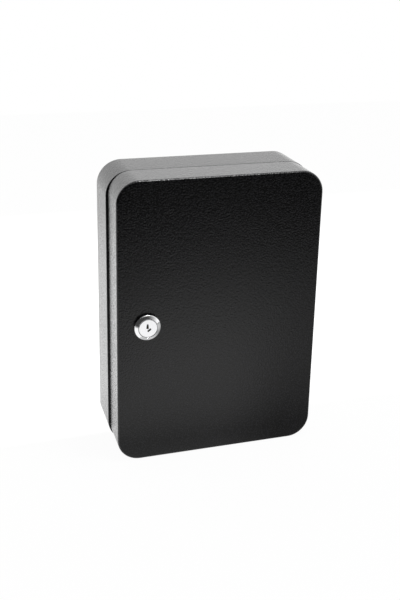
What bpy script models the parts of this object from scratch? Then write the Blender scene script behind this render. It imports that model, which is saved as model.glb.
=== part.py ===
"""A wall key cabinet of pressed steel: a drawn rear casing, a drawn door on a long
hinge, eight screwed hook rails and a wafer cam lock. Metres, +Z up, front towards -Y.
The origin is on the underside of the casing, at the middle of the closed depth."""

import math

import bmesh
import bpy
from mathutils import Matrix, Vector

# Overall sizes
OVERALL_WIDTH = 0.180
OVERALL_HEIGHT = 0.250
CASING_DEPTH = 0.042
DOOR_DEPTH = 0.033
PARTING_GAP = 0.0005
LOCK_PROUD = 0.0045

# Pressed shells
CASING_SHEET = 0.0012
DOOR_SHEET = 0.0012
CASING_CORNER_RADIUS = 0.021
DOOR_CORNER_TIGHTER = 0.0015
CASING_REAR_FILLET = 0.004
DOOR_FRONT_FILLET = 0.0020
DOOR_SIDE_INSET = 0.0017
DOOR_END_INSET = 0.0003
FLANGE_WIDTH = 0.009
FLANGE_BEND_RADIUS = 0.0008
WALL_HOLE_RADIUS = 0.0025
WALL_HOLE_SIDE_ROOM = 0.030
WALL_HOLE_END_ROOM = 0.025

# Gaps between pieces, and how far a cut runs past what it cuts
PIECE_GAP = 0.0003
SWEEP_GAP = 0.0005
CUT_OVERRUN = 0.001

# Rail bosses welded inside both shells
BOSS_RADIUS = 0.0035
BOSS_HEIGHT = 0.004
BOSS_HOLE_SPARE = 0.001

# Hook rails
RAIL_COUNT = 4
RAIL_PITCH = 0.054
RAIL_NUT_CLEARANCE = 0.003
RAIL_END_ROOM = 0.010
RAIL_HEIGHT = 0.016
RAIL_SHEET = 0.001
RAIL_SCREW_INSET = 0.0045
HOOK_COUNT = 6
HOOK_END_ROOM = 0.015
HOOK_WIDTH = 0.004
HOOK_REACH = 0.009
HOOK_TIP_HEIGHT = 0.0055
HOOK_BEND_RADIUS = 0.0018
HOOK_DROP = 0.004
HOOK_WINDOW_HEIGHT = 0.009
HOOK_WINDOW_SIDE_GAP = 0.0004

# Rail screws
SCREW_SHANK_RADIUS = 0.0015
SCREW_SHANK_LENGTH = 0.0042
SCREW_HEAD_RADIUS = 0.0028
SCREW_HEAD_HEIGHT = 0.002
SCREW_CROWN_SHARE = 0.75
CROSS_SLOT_WIDTH = 0.0006
CROSS_SLOT_LENGTH = 0.003
CROSS_SLOT_DEPTH = 0.001

# Long hinge on the right
HINGE_END_ROOM = 0.030
HINGE_LEAF_SHEET = 0.0009
HINGE_KNUCKLE_RADIUS = 0.0024
HINGE_PIN_RADIUS = 0.001
HINGE_KNUCKLES = 9
HINGE_CASING_LEAF_WIDTH = 0.014
HINGE_DOOR_LEAF_WIDTH = 0.0125
HINGE_PIN_END = 0.0008
HINGE_PIN_CHAMFER = 0.0003

# Cam lock
LOCK_FROM_EDGE = 0.025
BEZEL_OVERHANG = 0.0020
BEZEL_EDGE_HEIGHT = 0.0024
BEZEL_CREST_WIDTH = 0.0002
BEZEL_RECESS_DEPTH = 0.0013
HOUSING_WALL = 0.003
HOUSING_FLAT_WALL = 0.00205
HOUSING_LENGTH = 0.0255
PLUG_RADIUS = 0.0062
PLUG_HEAD_STEP = 0.0016
PLUG_HEAD_SINK = 0.0002
KEYWAY_WIDTH = 0.0020
KEYWAY_HEIGHT = 0.0068
KEYWAY_DEPTH = 0.0165
KEYWAY_WARD_SHARE = 0.32
STOP_LUG_LENGTH = 0.0016
STOP_LUG_ANGLE = math.radians(45.0)
STOP_LUG_HALF_ANGLE = math.radians(11.0)
STOP_PLATE_INSET = 0.0004
STOP_PLATE_SHEET = 0.0012
STOP_FREE_ANGLE = math.radians(2.0)
LOCK_TRAVEL = math.radians(90.0)
TOOTHED_WASHER_WALL = 0.0028
TOOTHED_WASHER_SHEET = 0.0008
TOOTHED_WASHER_TEETH = 12
TOOTH_HEIGHT = 0.0010
NUT_WALL = 0.0018
NUT_HEIGHT = 0.0035
SHANK_WIDTH = 0.0070
CAM_SHEET = 0.002
CAM_WIDTH = 0.012
CAM_HUB_REACH = 0.0075
CAM_CRANK_CLEARANCE = 0.0022
CAM_TIP_CLEARANCE = 0.0025
CAM_CORNER_RADIUS = 0.002
CAM_BEHIND_FLANGE = 0.0015
CAM_SCREW_RADIUS = 0.002
CAM_SCREW_HEAD_RADIUS = 0.0038
CAM_SCREW_HEAD_HEIGHT = 0.0025
CAM_SCREW_CHAMFER = 0.0006
CAM_SCREW_LENGTH = 0.009
CAM_WASHER_RADIUS = 0.0055
CAM_WASHER_SHEET = 0.001
CAM_WASHER_SPLIT = 0.0008

# Wafers and their springs
WAFER_COUNT = 5
WAFER_SHEET = 0.001
WAFER_PITCH = 0.0024
WAFER_WIDTH = 0.007
WAFER_TRAVEL = 0.0008
WAFER_WINDOW_WIDTH = 0.0034
WAFER_WINDOW_HEIGHT = 0.0072
WAFER_FROM_FACE = 0.0045
LUG_WIDTH = 0.0015
LUG_HEIGHT = 0.001
LUG_DROP = 0.001
SPRING_COIL_RADIUS = 0.00042
SPRING_WIRE_RADIUS = 0.0001
SPRING_LENGTH = 0.0032
SPRING_TURNS = 3

# How finely round shapes are drawn
CORNER_STEPS = 12
FILLET_STEPS = 4
BEZEL_STEPS = 48
ROUND_STEPS = 32
HALF_ROUND_STEPS = 16
FLATTED_ARC_STEPS = 8
SMALL_ROUND_STEPS = 12
LUG_STEPS = 3
WAIST_STEPS = 8
WAFER_END_STEPS = 4
CAM_CORNER_STEPS = 4
CAM_CORNER_SHAPE_SHARE = 0.5
HOOK_BEND_STEPS = 4
COIL_STEPS = 8
SHARP_ANGLE = math.radians(40.0)

# Finishes: colour, roughness and metallic value
BLACK_PAINT = ((0.014, 0.014, 0.015), 0.55, 0.0)
ZINC_PLATE = ((0.62, 0.63, 0.65), 0.35, 1.0)
BRIGHT_CHROME = ((0.80, 0.80, 0.81), 0.12, 1.0)
STAMPED_BRASS = ((0.78, 0.60, 0.30), 0.30, 1.0)
PLAIN_STEEL = ((0.55, 0.55, 0.56), 0.28, 1.0)

# Sizes that follow from others
DOOR_CORNER_RADIUS = CASING_CORNER_RADIUS - DOOR_CORNER_TIGHTER
WALL_HOLE_PITCH_X = OVERALL_WIDTH - 2 * WALL_HOLE_SIDE_ROOM
WALL_HOLE_PITCH_Z = OVERALL_HEIGHT - 2 * WALL_HOLE_END_ROOM
RAIL_LENGTH = OVERALL_WIDTH - 2 * RAIL_END_ROOM
HOOK_PITCH = (RAIL_LENGTH - 2 * HOOK_END_ROOM) / (HOOK_COUNT - 1)
SCREW_HOLE_RADIUS = SCREW_SHANK_RADIUS + PIECE_GAP
BOSS_HOLE_DEPTH = SCREW_SHANK_LENGTH - RAIL_SHEET - 2 * PIECE_GAP + BOSS_HOLE_SPARE
HINGE_LENGTH = OVERALL_HEIGHT - 2 * HINGE_END_ROOM
HOUSING_RADIUS = PLUG_RADIUS + HOUSING_WALL
HOUSING_FLATS = 2 * (PLUG_RADIUS + HOUSING_FLAT_WALL)
BEZEL_RADIUS = HOUSING_RADIUS + BEZEL_OVERHANG
PLUG_HEAD_RADIUS = PLUG_RADIUS + PLUG_HEAD_STEP
BEZEL_RECESS_RADIUS = PLUG_HEAD_RADIUS + PIECE_GAP
STOP_PLATE_RADIUS = HOUSING_RADIUS - STOP_PLATE_INSET
STOP_PLATE_WAIST_RADIUS = PLUG_RADIUS + PIECE_GAP
STOP_LUG_INNER_RADIUS = STOP_PLATE_WAIST_RADIUS + SWEEP_GAP
TOOTHED_WASHER_RADIUS = HOUSING_RADIUS + TOOTHED_WASHER_WALL
NUT_ACROSS_FLATS = 2 * (HOUSING_RADIUS + NUT_WALL)

# Places that follow from the sizes
CLOSED_DEPTH = CASING_DEPTH + PARTING_GAP + DOOR_DEPTH + LOCK_PROUD
BACK_Y = CLOSED_DEPTH / 2
CASING_FRONT_Y = BACK_Y - CASING_DEPTH
DOOR_REAR_Y = CASING_FRONT_Y - PARTING_GAP
DOOR_FRONT_Y = DOOR_REAR_Y - DOOR_DEPTH
MID_Z = OVERALL_HEIGHT / 2
DOOR_WIDTH = OVERALL_WIDTH - 2 * DOOR_SIDE_INSET
DOOR_HEIGHT = OVERALL_HEIGHT - 2 * DOOR_END_INSET
CASING_INNER_Y = BACK_Y - CASING_SHEET
DOOR_INNER_Y = DOOR_FRONT_Y + DOOR_SHEET
HINGE_X = OVERALL_WIDTH / 2
HINGE_Y = (CASING_FRONT_Y + DOOR_REAR_Y) / 2
HINGE_LOW_Z = MID_Z - HINGE_LENGTH / 2
HINGE_HIGH_Z = HINGE_LOW_Z + HINGE_LENGTH
LEAF_SCREEN = HINGE_KNUCKLE_RADIUS + SWEEP_GAP
LOCK_X = LOCK_FROM_EDGE - DOOR_WIDTH / 2
LOCK_Z = MID_Z
LOCK_FROM_WALL = LOCK_X + OVERALL_WIDTH / 2
CAM_CRANK_REACH = LOCK_FROM_WALL - FLANGE_WIDTH - CAM_CRANK_CLEARANCE
CAM_REACH = LOCK_FROM_WALL - CASING_SHEET - CAM_TIP_CLEARANCE
LOCK_FRONT_Y = DOOR_FRONT_Y - LOCK_PROUD
HOUSING_REAR_Y = LOCK_FRONT_Y + HOUSING_LENGTH
RECESS_Y = LOCK_FRONT_Y + BEZEL_RECESS_DEPTH
PLUG_FACE_Y = LOCK_FRONT_Y + PLUG_HEAD_SINK
PLUG_HEAD_REAR_Y = RECESS_Y - PIECE_GAP
PLUG_REAR_Y = HOUSING_REAR_Y + PIECE_GAP
STOP_PLATE_Y = PLUG_REAR_Y + PIECE_GAP
CAM_Y = STOP_PLATE_Y + STOP_PLATE_SHEET + PIECE_GAP
CAM_REAR_Y = CAM_Y + CAM_SHEET
CAM_TIP_Y = CASING_FRONT_Y + CASING_SHEET + CAM_BEHIND_FLANGE
SHANK_REAR_Y = CAM_REAR_Y - PIECE_GAP
CAM_WASHER_Y = CAM_REAR_Y + PIECE_GAP
CAM_SCREW_Y = CAM_WASHER_Y + CAM_WASHER_SHEET + PIECE_GAP
SCREW_X = RAIL_LENGTH / 2 - RAIL_SCREW_INSET
SECOND_RAIL_Z = LOCK_Z - NUT_ACROSS_FLATS / 2 - RAIL_NUT_CLEARANCE - RAIL_HEIGHT / 2


def clear_scene():
    """Removes whatever the scene held."""
    for old in list(bpy.data.objects):
        bpy.data.objects.remove(old, do_unlink=True)


def material(name, finish):
    """Makes one Principled material from a finish."""
    color, roughness, metallic = finish
    made = bpy.data.materials.new(name)
    made.use_nodes = True
    made.diffuse_color = (*color, 1.0)
    shader = made.node_tree.nodes["Principled BSDF"]
    shader.inputs["Base Color"].default_value = (*color, 1.0)
    shader.inputs["Roughness"].default_value = roughness
    shader.inputs["Metallic"].default_value = metallic
    return made


def new_object(name, data, finish=None):
    """Links a mesh or curve into the scene as one object, in a material of its own."""
    made = bpy.data.objects.new(name, data)
    bpy.context.scene.collection.objects.link(made)
    if finish is not None:
        data.materials.clear()
        data.materials.append(material(f"{name}_finish", finish))
    return made


def mesh_from(bm, name):
    """Turns a bmesh into a mesh whose faces point out."""
    bmesh.ops.recalc_face_normals(bm, faces=bm.faces)
    mesh = bpy.data.meshes.new(name)
    bm.to_mesh(mesh)
    bm.free()
    return mesh


def smooth_round(piece):
    """Shades round faces smooth and keeps true edges sharp."""
    piece.data.shade_smooth()
    piece.data.set_sharp_from_angle(angle=SHARP_ANGLE)


def combine(target, tool, operation):
    """Applies one exact Boolean and removes its tool object."""
    modifier = target.modifiers.new(operation.lower(), "BOOLEAN")
    modifier.operation = operation
    modifier.solver = "EXACT"
    modifier.object = tool
    graph = bpy.context.evaluated_depsgraph_get()
    graph.update()
    result = bpy.data.meshes.new_from_object(target.evaluated_get(graph))
    target.modifiers.clear()
    target.data = result
    bpy.data.objects.remove(tool, do_unlink=True)


def tool_from(bm):
    """Makes a hidden tool object for a Boolean."""
    tool = new_object("tool", mesh_from(bm, "tool"))
    tool.hide_render = True
    tool.display_type = "WIRE"
    return tool


def cut(target, bm):
    combine(target, tool_from(bm), "DIFFERENCE")


def fuse(target, bm):
    combine(target, tool_from(bm), "UNION")


def add_box(bm, low, high):
    """Adds a closed box between two corners."""
    corners = [
        bm.verts.new((x, y, z))
        for x in (low[0], high[0])
        for y in (low[1], high[1])
        for z in (low[2], high[2])
    ]
    for face in ((0, 1, 3, 2), (4, 6, 7, 5), (0, 4, 5, 1), (2, 3, 7, 6), (0, 2, 6, 4), (1, 5, 7, 3)):
        bm.faces.new([corners[i] for i in face])


def box(low, high):
    bm = bmesh.new()
    add_box(bm, low, high)
    return bm


def bridge_rings(bm, rings):
    """Joins rings of equal count into a closed skin with a cap at each end."""
    loops = [[bm.verts.new(point) for point in ring] for ring in rings]
    count = len(loops[0])
    for near, far in zip(loops, loops[1:]):
        for i in range(count):
            j = (i + 1) % count
            bm.faces.new((near[i], near[j], far[j], far[i]))
    bm.faces.new(loops[0])
    bm.faces.new(reversed(loops[-1]))


def circle_ring(centre, radius, y, steps):
    """A circle in an XZ plane, about an axis along Y."""
    angles = [2 * math.pi * i / steps for i in range(steps)]
    return [(centre[0] + radius * math.cos(a), y, centre[1] + radius * math.sin(a)) for a in angles]


def add_turned(bm, profile, centre, steps):
    """Adds a body turned about an axis along Y through centre. profile: (radius, y)."""
    bridge_rings(bm, [circle_ring(centre, radius, y, steps) for radius, y in profile])


def turned(profile, centre, steps):
    bm = bmesh.new()
    add_turned(bm, profile, centre, steps)
    return bm


def ring_body(outer, inner, low_y, high_y, centre, steps):
    """A flat washer shape along Y."""
    bm = bmesh.new()
    section = ((outer, low_y), (outer, high_y), (inner, high_y), (inner, low_y))
    rings = [circle_ring(centre, radius, y, steps) for radius, y in section]
    loops = [[bm.verts.new(point) for point in ring] for ring in rings]
    for near, far in zip(loops, loops[1:] + loops[:1]):
        for i in range(steps):
            j = (i + 1) % steps
            bm.faces.new((near[i], near[j], far[j], far[i]))
    return bm


def add_prism(bm, outline, axis, low, high):
    """Extrudes a closed outline along one axis, from low to high."""
    places = {
        "X": lambda a, b, t: (t, a, b),
        "Y": lambda a, b, t: (a, t, b),
        "Z": lambda a, b, t: (a, b, t),
    }
    place = places[axis]
    bridge_rings(bm, [[place(a, b, t) for a, b in outline] for t in (low, high)])


def prism(outline, axis, low, high):
    bm = bmesh.new()
    add_prism(bm, outline, axis, low, high)
    return bm


def arc_points(centre, radius, start, end, steps):
    """Points on an arc, both ends included."""
    return [
        (
            centre[0] + radius * math.cos(start + (end - start) * i / steps),
            centre[1] + radius * math.sin(start + (end - start) * i / steps),
        )
        for i in range(steps + 1)
    ]


def rounded_ring(width, height, radius, y):
    """A rounded rectangle in an XZ plane, centred on x = 0 and the mid height."""
    points = []
    for turn, (side, level) in enumerate(((1, 1), (-1, 1), (-1, -1), (1, -1))):
        centre = (side * (width / 2 - radius), MID_Z + level * (height / 2 - radius))
        start = turn * math.pi / 2
        points += arc_points(centre, radius, start, start + math.pi / 2, CORNER_STEPS)
    return [(x, y, z) for x, z in points]


def shell_rings(width, height, radius, profile):
    """Rings of a drawn shell. profile: (inset from the outer wall, y)."""
    return [rounded_ring(width - 2 * inset, height - 2 * inset, radius - inset, y) for inset, y in profile]


def quarter(inset_centre, y_centre, radius, start, end):
    """A fillet in a shell's profile, as (inset, y) points."""
    return arc_points((inset_centre, y_centre), radius, start, end, FILLET_STEPS)


def rail_levels():
    """Heights of the hook rails' middles. The second one lies just under the lock's nut."""
    return [SECOND_RAIL_Z + (i - 1) * RAIL_PITCH for i in range(RAIL_COUNT)]


def screw_places():
    """Places (x, z) of the rail screws in one shell."""
    return [(side * SCREW_X, level) for level in rail_levels() for side in (-1, 1)]


def add_bosses(shell, wall_y, sheet, inward):
    """Welds the rail bosses to a shell's inner face and drills their blind holes."""
    bosses = bmesh.new()
    holes = bmesh.new()
    rise = wall_y + inward * BOSS_HEIGHT
    root = wall_y - inward * sheet / 2
    for place in screw_places():
        add_turned(bosses, ((BOSS_RADIUS, root), (BOSS_RADIUS, rise)), place, SMALL_ROUND_STEPS)
        floor = rise - inward * BOSS_HOLE_DEPTH
        mouth = rise + inward * CUT_OVERRUN
        add_turned(holes, ((SCREW_HOLE_RADIUS, floor), (SCREW_HOLE_RADIUS, mouth)), place, SMALL_ROUND_STEPS)
    fuse(shell, bosses)
    cut(shell, holes)


def casing_profile():
    """The casing's section, from the middle of its back out, round the rim and back in."""
    fillet = CASING_REAR_FILLET
    sheet = CASING_SHEET
    bend = FLANGE_BEND_RADIUS
    fillet_y = BACK_Y - fillet
    outer = quarter(fillet, fillet_y, fillet, math.pi / 2, math.pi)
    rim = quarter(bend, CASING_FRONT_Y + bend, bend, math.pi, 1.5 * math.pi)
    flange = [
        (FLANGE_WIDTH, CASING_FRONT_Y),
        (FLANGE_WIDTH, CASING_FRONT_Y + sheet),
        (sheet, CASING_FRONT_Y + sheet),
    ]
    inner = quarter(fillet, fillet_y, fillet - sheet, math.pi, math.pi / 2)
    return outer + rim + flange + inner


def add_wall_holes(casing):
    holes = bmesh.new()
    low = CASING_INNER_Y - CUT_OVERRUN
    high = BACK_Y + CUT_OVERRUN
    for x in (-WALL_HOLE_PITCH_X / 2, WALL_HOLE_PITCH_X / 2):
        for z in (MID_Z - WALL_HOLE_PITCH_Z / 2, MID_Z + WALL_HOLE_PITCH_Z / 2):
            add_turned(holes, ((WALL_HOLE_RADIUS, low), (WALL_HOLE_RADIUS, high)), (x, z), SMALL_ROUND_STEPS)
    cut(casing, holes)


def hinge_notch_ends():
    """Lowest and highest z of the hinge's notch in both rims."""
    spare = HINGE_PIN_END + SWEEP_GAP
    return HINGE_LOW_Z - spare, HINGE_HIGH_Z + spare


def make_rear_casing():
    """The drawn casing, open at the front, with a return flange round its mouth."""
    bm = bmesh.new()
    bridge_rings(bm, shell_rings(OVERALL_WIDTH, OVERALL_HEIGHT, CASING_CORNER_RADIUS, casing_profile()))
    casing = new_object("rear_casing", mesh_from(bm, "rear_casing"), BLACK_PAINT)
    add_wall_holes(casing)
    low_z, high_z = hinge_notch_ends()
    notch_low = (OVERALL_WIDTH / 2 - FLANGE_WIDTH - CUT_OVERRUN, CASING_FRONT_Y - CUT_OVERRUN, low_z)
    notch_high = (HINGE_X + CUT_OVERRUN, HINGE_Y + LEAF_SCREEN, high_z)
    cut(casing, box(notch_low, notch_high))
    add_bosses(casing, CASING_INNER_Y, CASING_SHEET, -1)
    smooth_round(casing)
    return casing


def door_profile():
    """The door's section, from the middle of its front out, round the rim and back in."""
    fillet = DOOR_FRONT_FILLET
    sheet = DOOR_SHEET
    fillet_y = DOOR_FRONT_Y + fillet
    outer = quarter(fillet, fillet_y, fillet, 1.5 * math.pi, math.pi)
    rim = [(0.0, DOOR_REAR_Y), (sheet, DOOR_REAR_Y)]
    inner = quarter(fillet, fillet_y, fillet - sheet, math.pi, 1.5 * math.pi)
    return outer + rim + inner


def flatted_circle(radius, flats, gap):
    """A circle with a flat on its left and right, grown by a gap, as (x, z) points."""
    half = flats / 2 + gap
    reach = radius + gap
    corner = math.acos(half / reach)
    axis = (LOCK_X, LOCK_Z)
    top = arc_points(axis, reach, corner, math.pi - corner, FLATTED_ARC_STEPS)
    bottom = arc_points(axis, reach, math.pi + corner, 2 * math.pi - corner, FLATTED_ARC_STEPS)
    return top + bottom


def make_door_shell():
    """The drawn door, open at the rear, with the lock's flatted hole."""
    bm = bmesh.new()
    bridge_rings(bm, shell_rings(DOOR_WIDTH, DOOR_HEIGHT, DOOR_CORNER_RADIUS, door_profile()))
    door = new_object("door_shell", mesh_from(bm, "door_shell"), BLACK_PAINT)
    hole = flatted_circle(HOUSING_RADIUS, HOUSING_FLATS, PIECE_GAP)
    cut(door, prism(hole, "Y", DOOR_FRONT_Y - CUT_OVERRUN, DOOR_INNER_Y + CUT_OVERRUN))
    low_z, high_z = hinge_notch_ends()
    notch_low = (DOOR_WIDTH / 2 - DOOR_SHEET - CUT_OVERRUN, HINGE_Y - LEAF_SCREEN, low_z)
    notch_high = (HINGE_X + CUT_OVERRUN, DOOR_REAR_Y + CUT_OVERRUN, high_z)
    cut(door, box(notch_low, notch_high))
    add_bosses(door, DOOR_INNER_Y, DOOR_SHEET, 1)
    smooth_round(door)
    return door


def knuckle_spans(first):
    """Low and high z of every second knuckle, starting with the given one."""
    length = HINGE_LENGTH / HINGE_KNUCKLES
    spans = []
    for i in range(first, HINGE_KNUCKLES, 2):
        low = HINGE_LOW_Z + i * length
        high = low + length
        if i > 0:
            low += PIECE_GAP / 2
        if i < HINGE_KNUCKLES - 1:
            high -= PIECE_GAP / 2
        spans.append((low, high))
    return spans


def bore_leaf(leaf):
    """Runs the pin's bore through all of a leaf's knuckles."""
    radius = HINGE_PIN_RADIUS + PIECE_GAP
    bore = arc_points((HINGE_X, HINGE_Y), radius, 0.0, 2 * math.pi, SMALL_ROUND_STEPS)[:-1]
    cut(leaf, prism(bore, "Z", HINGE_LOW_Z - CUT_OVERRUN, HINGE_HIGH_Z + CUT_OVERRUN))


def make_casing_leaf():
    """The leaf welded inside the casing's right wall."""
    outer_x = OVERALL_WIDTH / 2 - CASING_SHEET - PIECE_GAP
    inner_x = outer_x - HINGE_LEAF_SHEET
    plate_y = HINGE_Y + LEAF_SCREEN
    far_y = HINGE_Y + HINGE_CASING_LEAF_WIDTH
    plate = box((inner_x, plate_y, HINGE_LOW_Z), (outer_x, far_y, HINGE_HIGH_Z))
    leaf = new_object("hinge_casing_leaf", mesh_from(plate, "hinge_casing_leaf"), ZINC_PLATE)
    inner_cosine = max(-1.0, (inner_x - HINGE_X) / HINGE_KNUCKLE_RADIUS)
    start = 2 * math.pi - math.acos(inner_cosine)
    end = 2 * math.pi + math.acos((outer_x - HINGE_X) / HINGE_KNUCKLE_RADIUS)
    barrel = arc_points((HINGE_X, HINGE_Y), HINGE_KNUCKLE_RADIUS, start, end, HALF_ROUND_STEPS)
    joined_y = plate_y + HINGE_LEAF_SHEET
    outline = barrel + [(outer_x, joined_y), (inner_x, joined_y)]
    knuckles = bmesh.new()
    for low, high in knuckle_spans(0):
        add_prism(knuckles, outline, "Z", low, high)
    fuse(leaf, knuckles)
    bore_leaf(leaf)
    smooth_round(leaf)
    return leaf


def make_door_leaf():
    """The cranked leaf welded inside the door's right wall."""
    outer_x = DOOR_WIDTH / 2 - DOOR_SHEET - PIECE_GAP
    inner_x = outer_x - HINGE_LEAF_SHEET
    rear_y = DOOR_REAR_Y
    front_y = rear_y - HINGE_LEAF_SHEET
    far_y = HINGE_Y - HINGE_DOOR_LEAF_WIDTH
    edge_x = HINGE_X - LEAF_SCREEN
    crank = [
        (inner_x, rear_y),
        (inner_x, far_y),
        (outer_x, far_y),
        (outer_x, front_y),
        (edge_x, front_y),
        (edge_x, rear_y),
    ]
    plate = prism(crank, "Z", HINGE_LOW_Z, HINGE_HIGH_Z)
    leaf = new_object("hinge_door_leaf", mesh_from(plate, "hinge_door_leaf"), ZINC_PLATE)
    start = math.pi + math.asin((HINGE_Y - front_y) / HINGE_KNUCKLE_RADIUS)
    end = 3 * math.pi + math.asin((HINGE_Y - rear_y) / HINGE_KNUCKLE_RADIUS)
    barrel = arc_points((HINGE_X, HINGE_Y), HINGE_KNUCKLE_RADIUS, start, end, HALF_ROUND_STEPS)
    joined_x = edge_x - HINGE_LEAF_SHEET
    outline = barrel + [(joined_x, rear_y), (joined_x, front_y)]
    knuckles = bmesh.new()
    for low, high in knuckle_spans(1):
        add_prism(knuckles, outline, "Z", low, high)
    fuse(leaf, knuckles)
    bore_leaf(leaf)
    smooth_round(leaf)
    return leaf


def make_hinge_pin():
    """The pin, held in the casing's knuckles, with a small chamfer at each end."""
    low = HINGE_LOW_Z - HINGE_PIN_END
    high = HINGE_HIGH_Z + HINGE_PIN_END
    chamfer = HINGE_PIN_CHAMFER
    sections = (
        (HINGE_PIN_RADIUS - chamfer, low),
        (HINGE_PIN_RADIUS, low + chamfer),
        (HINGE_PIN_RADIUS, high - chamfer),
        (HINGE_PIN_RADIUS - chamfer, high),
    )
    bm = bmesh.new()
    rings = [
        [(x, y, z) for x, y in arc_points((HINGE_X, HINGE_Y), r, 0.0, 2 * math.pi, SMALL_ROUND_STEPS)[:-1]]
        for r, z in sections
    ]
    bridge_rings(bm, rings)
    pin = new_object("hinge_pin", mesh_from(bm, "hinge_pin"), PLAIN_STEEL)
    smooth_round(pin)
    return pin


def hook_outline():
    """A hook's side view as (y, z): out from the plate's face, then up. The face is y = 0."""
    half = RAIL_SHEET / 2
    bend = HOOK_BEND_RADIUS
    floor_z = -HOOK_DROP
    centre = (-(HOOK_REACH - half - bend), floor_z + bend)
    start, end = 1.5 * math.pi, math.pi
    outside = arc_points(centre, bend + half, start, end, HOOK_BEND_STEPS)
    inside = arc_points(centre, bend - half, end, start, HOOK_BEND_STEPS)
    tip_z = floor_z + HOOK_TIP_HEIGHT
    tip = [(-HOOK_REACH, tip_z), (-(HOOK_REACH - RAIL_SHEET), tip_z)]
    root = [(half, floor_z + half), (half, floor_z - half)]
    return outside + tip + inside + root


def rail_mesh():
    """One hook rail about its own middle: the plate's front face at y = 0, hooks towards -Y."""
    half_length = RAIL_LENGTH / 2
    half_height = RAIL_HEIGHT / 2
    plate = box((-half_length, 0.0, -half_height), (half_length, RAIL_SHEET, half_height))
    rail = new_object("rail", mesh_from(plate, "rail"))
    hooks = bmesh.new()
    windows = bmesh.new()
    window_half = HOOK_WIDTH / 2 + HOOK_WINDOW_SIDE_GAP
    window_low = RAIL_SHEET / 2 - HOOK_DROP
    window_high = min(window_low + HOOK_WINDOW_HEIGHT, half_height - RAIL_SHEET)
    for i in range(HOOK_COUNT):
        x = (i - (HOOK_COUNT - 1) / 2) * HOOK_PITCH
        add_prism(hooks, hook_outline(), "X", x - HOOK_WIDTH / 2, x + HOOK_WIDTH / 2)
        add_box(
            windows,
            (x - window_half, -CUT_OVERRUN, window_low),
            (x + window_half, RAIL_SHEET + CUT_OVERRUN, window_high),
        )
    for x in (-SCREW_X, SCREW_X):
        holes = ((SCREW_HOLE_RADIUS, -CUT_OVERRUN), (SCREW_HOLE_RADIUS, RAIL_SHEET + CUT_OVERRUN))
        add_turned(windows, holes, (x, 0.0), SMALL_ROUND_STEPS)
    cut(rail, windows)
    fuse(rail, hooks)
    smooth_round(rail)
    mesh = rail.data
    bpy.data.objects.remove(rail, do_unlink=True)
    return mesh


def screw_mesh():
    """One pan-head screw along Y: the head's underside at y = 0, the shank towards +Y."""
    head = SCREW_HEAD_HEIGHT
    profile = (
        (SCREW_SHANK_RADIUS, SCREW_SHANK_LENGTH),
        (SCREW_SHANK_RADIUS, 0.0),
        (SCREW_HEAD_RADIUS, 0.0),
        (SCREW_HEAD_RADIUS, -head / 2),
        (SCREW_HEAD_RADIUS * SCREW_CROWN_SHARE, -head),
    )
    screw = new_object("screw", mesh_from(turned(profile, (0.0, 0.0), SMALL_ROUND_STEPS), "screw"))
    half_width = CROSS_SLOT_WIDTH / 2
    half_length = CROSS_SLOT_LENGTH / 2
    low_y = -head - CUT_OVERRUN
    high_y = CROSS_SLOT_DEPTH - head
    cross = [
        (half_width, half_width),
        (half_width, half_length),
        (-half_width, half_length),
        (-half_width, half_width),
        (-half_length, half_width),
        (-half_length, -half_width),
        (-half_width, -half_width),
        (-half_width, -half_length),
        (half_width, -half_length),
        (half_width, -half_width),
        (half_length, -half_width),
        (half_length, half_width),
    ]
    cut(screw, prism(cross, "Y", low_y, high_y))
    smooth_round(screw)
    mesh = screw.data
    bpy.data.objects.remove(screw, do_unlink=True)
    return mesh


def place_copy(mesh, name, location, facing):
    """Places a zinc-plated copy. facing: 1 keeps its front towards -Y, -1 turns it to +Y."""
    made = new_object(name, mesh.copy(), ZINC_PLATE)
    made.location = location
    if facing < 0:
        made.rotation_euler = (0.0, 0.0, math.pi)
    return made


def make_rails(prefix, wall_y, inward):
    """Four rails and their eight screws in one shell, on its bosses."""
    pieces = []
    rail = rail_mesh()
    screw = screw_mesh()
    face_y = wall_y + inward * (BOSS_HEIGHT + PIECE_GAP + RAIL_SHEET)
    facing = -inward
    for i, level in enumerate(rail_levels()):
        name = f"{prefix}_key_rail_{i + 1}"
        pieces.append(place_copy(rail, name, (0.0, face_y, level), facing))
    head_y = face_y + inward * PIECE_GAP
    for i, (x, z) in enumerate(screw_places()):
        name = f"{prefix}_rail_screw_{i + 1}"
        pieces.append(place_copy(screw, name, (x, head_y, z), facing))
    return pieces


def lock_circle(radius, steps):
    """A circle about the lock's axis, as (x, z) points."""
    return arc_points((LOCK_X, LOCK_Z), radius, 0.0, 2 * math.pi, steps)[:-1]


def wafer_middle(i):
    """The y of one wafer's middle."""
    return PLUG_HEAD_REAR_Y + WAFER_FROM_FACE + i * WAFER_PITCH


def wafer_half_height():
    """Half a wafer's height: at rest its ends are level with the plug's wall."""
    return math.sqrt(PLUG_RADIUS**2 - (WAFER_WIDTH / 2) ** 2)


def sector(inner, outer, middle, half_angle, steps):
    """A ring sector about the lock's axis, as (x, z) points."""
    low = middle - half_angle
    high = middle + half_angle
    axis = (LOCK_X, LOCK_Z)
    return arc_points(axis, outer, low, high, steps) + arc_points(axis, inner, high, low, steps)


def wafer_grooves():
    """Two crossed slots through the housing's bore, where the wafers' ends go with the key out."""
    half = WAFER_WIDTH / 2 + PIECE_GAP
    reach = PLUG_RADIUS + WAFER_TRAVEL + PIECE_GAP
    low_y = wafer_middle(0) - WAFER_SHEET / 2 - SWEEP_GAP
    high_y = wafer_middle(WAFER_COUNT - 1) + WAFER_SHEET / 2 + SWEEP_GAP
    return [
        box((LOCK_X - x, low_y, LOCK_Z - z), (LOCK_X + x, high_y, LOCK_Z + z))
        for x, z in ((half, reach), (reach, half))
    ]


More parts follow.
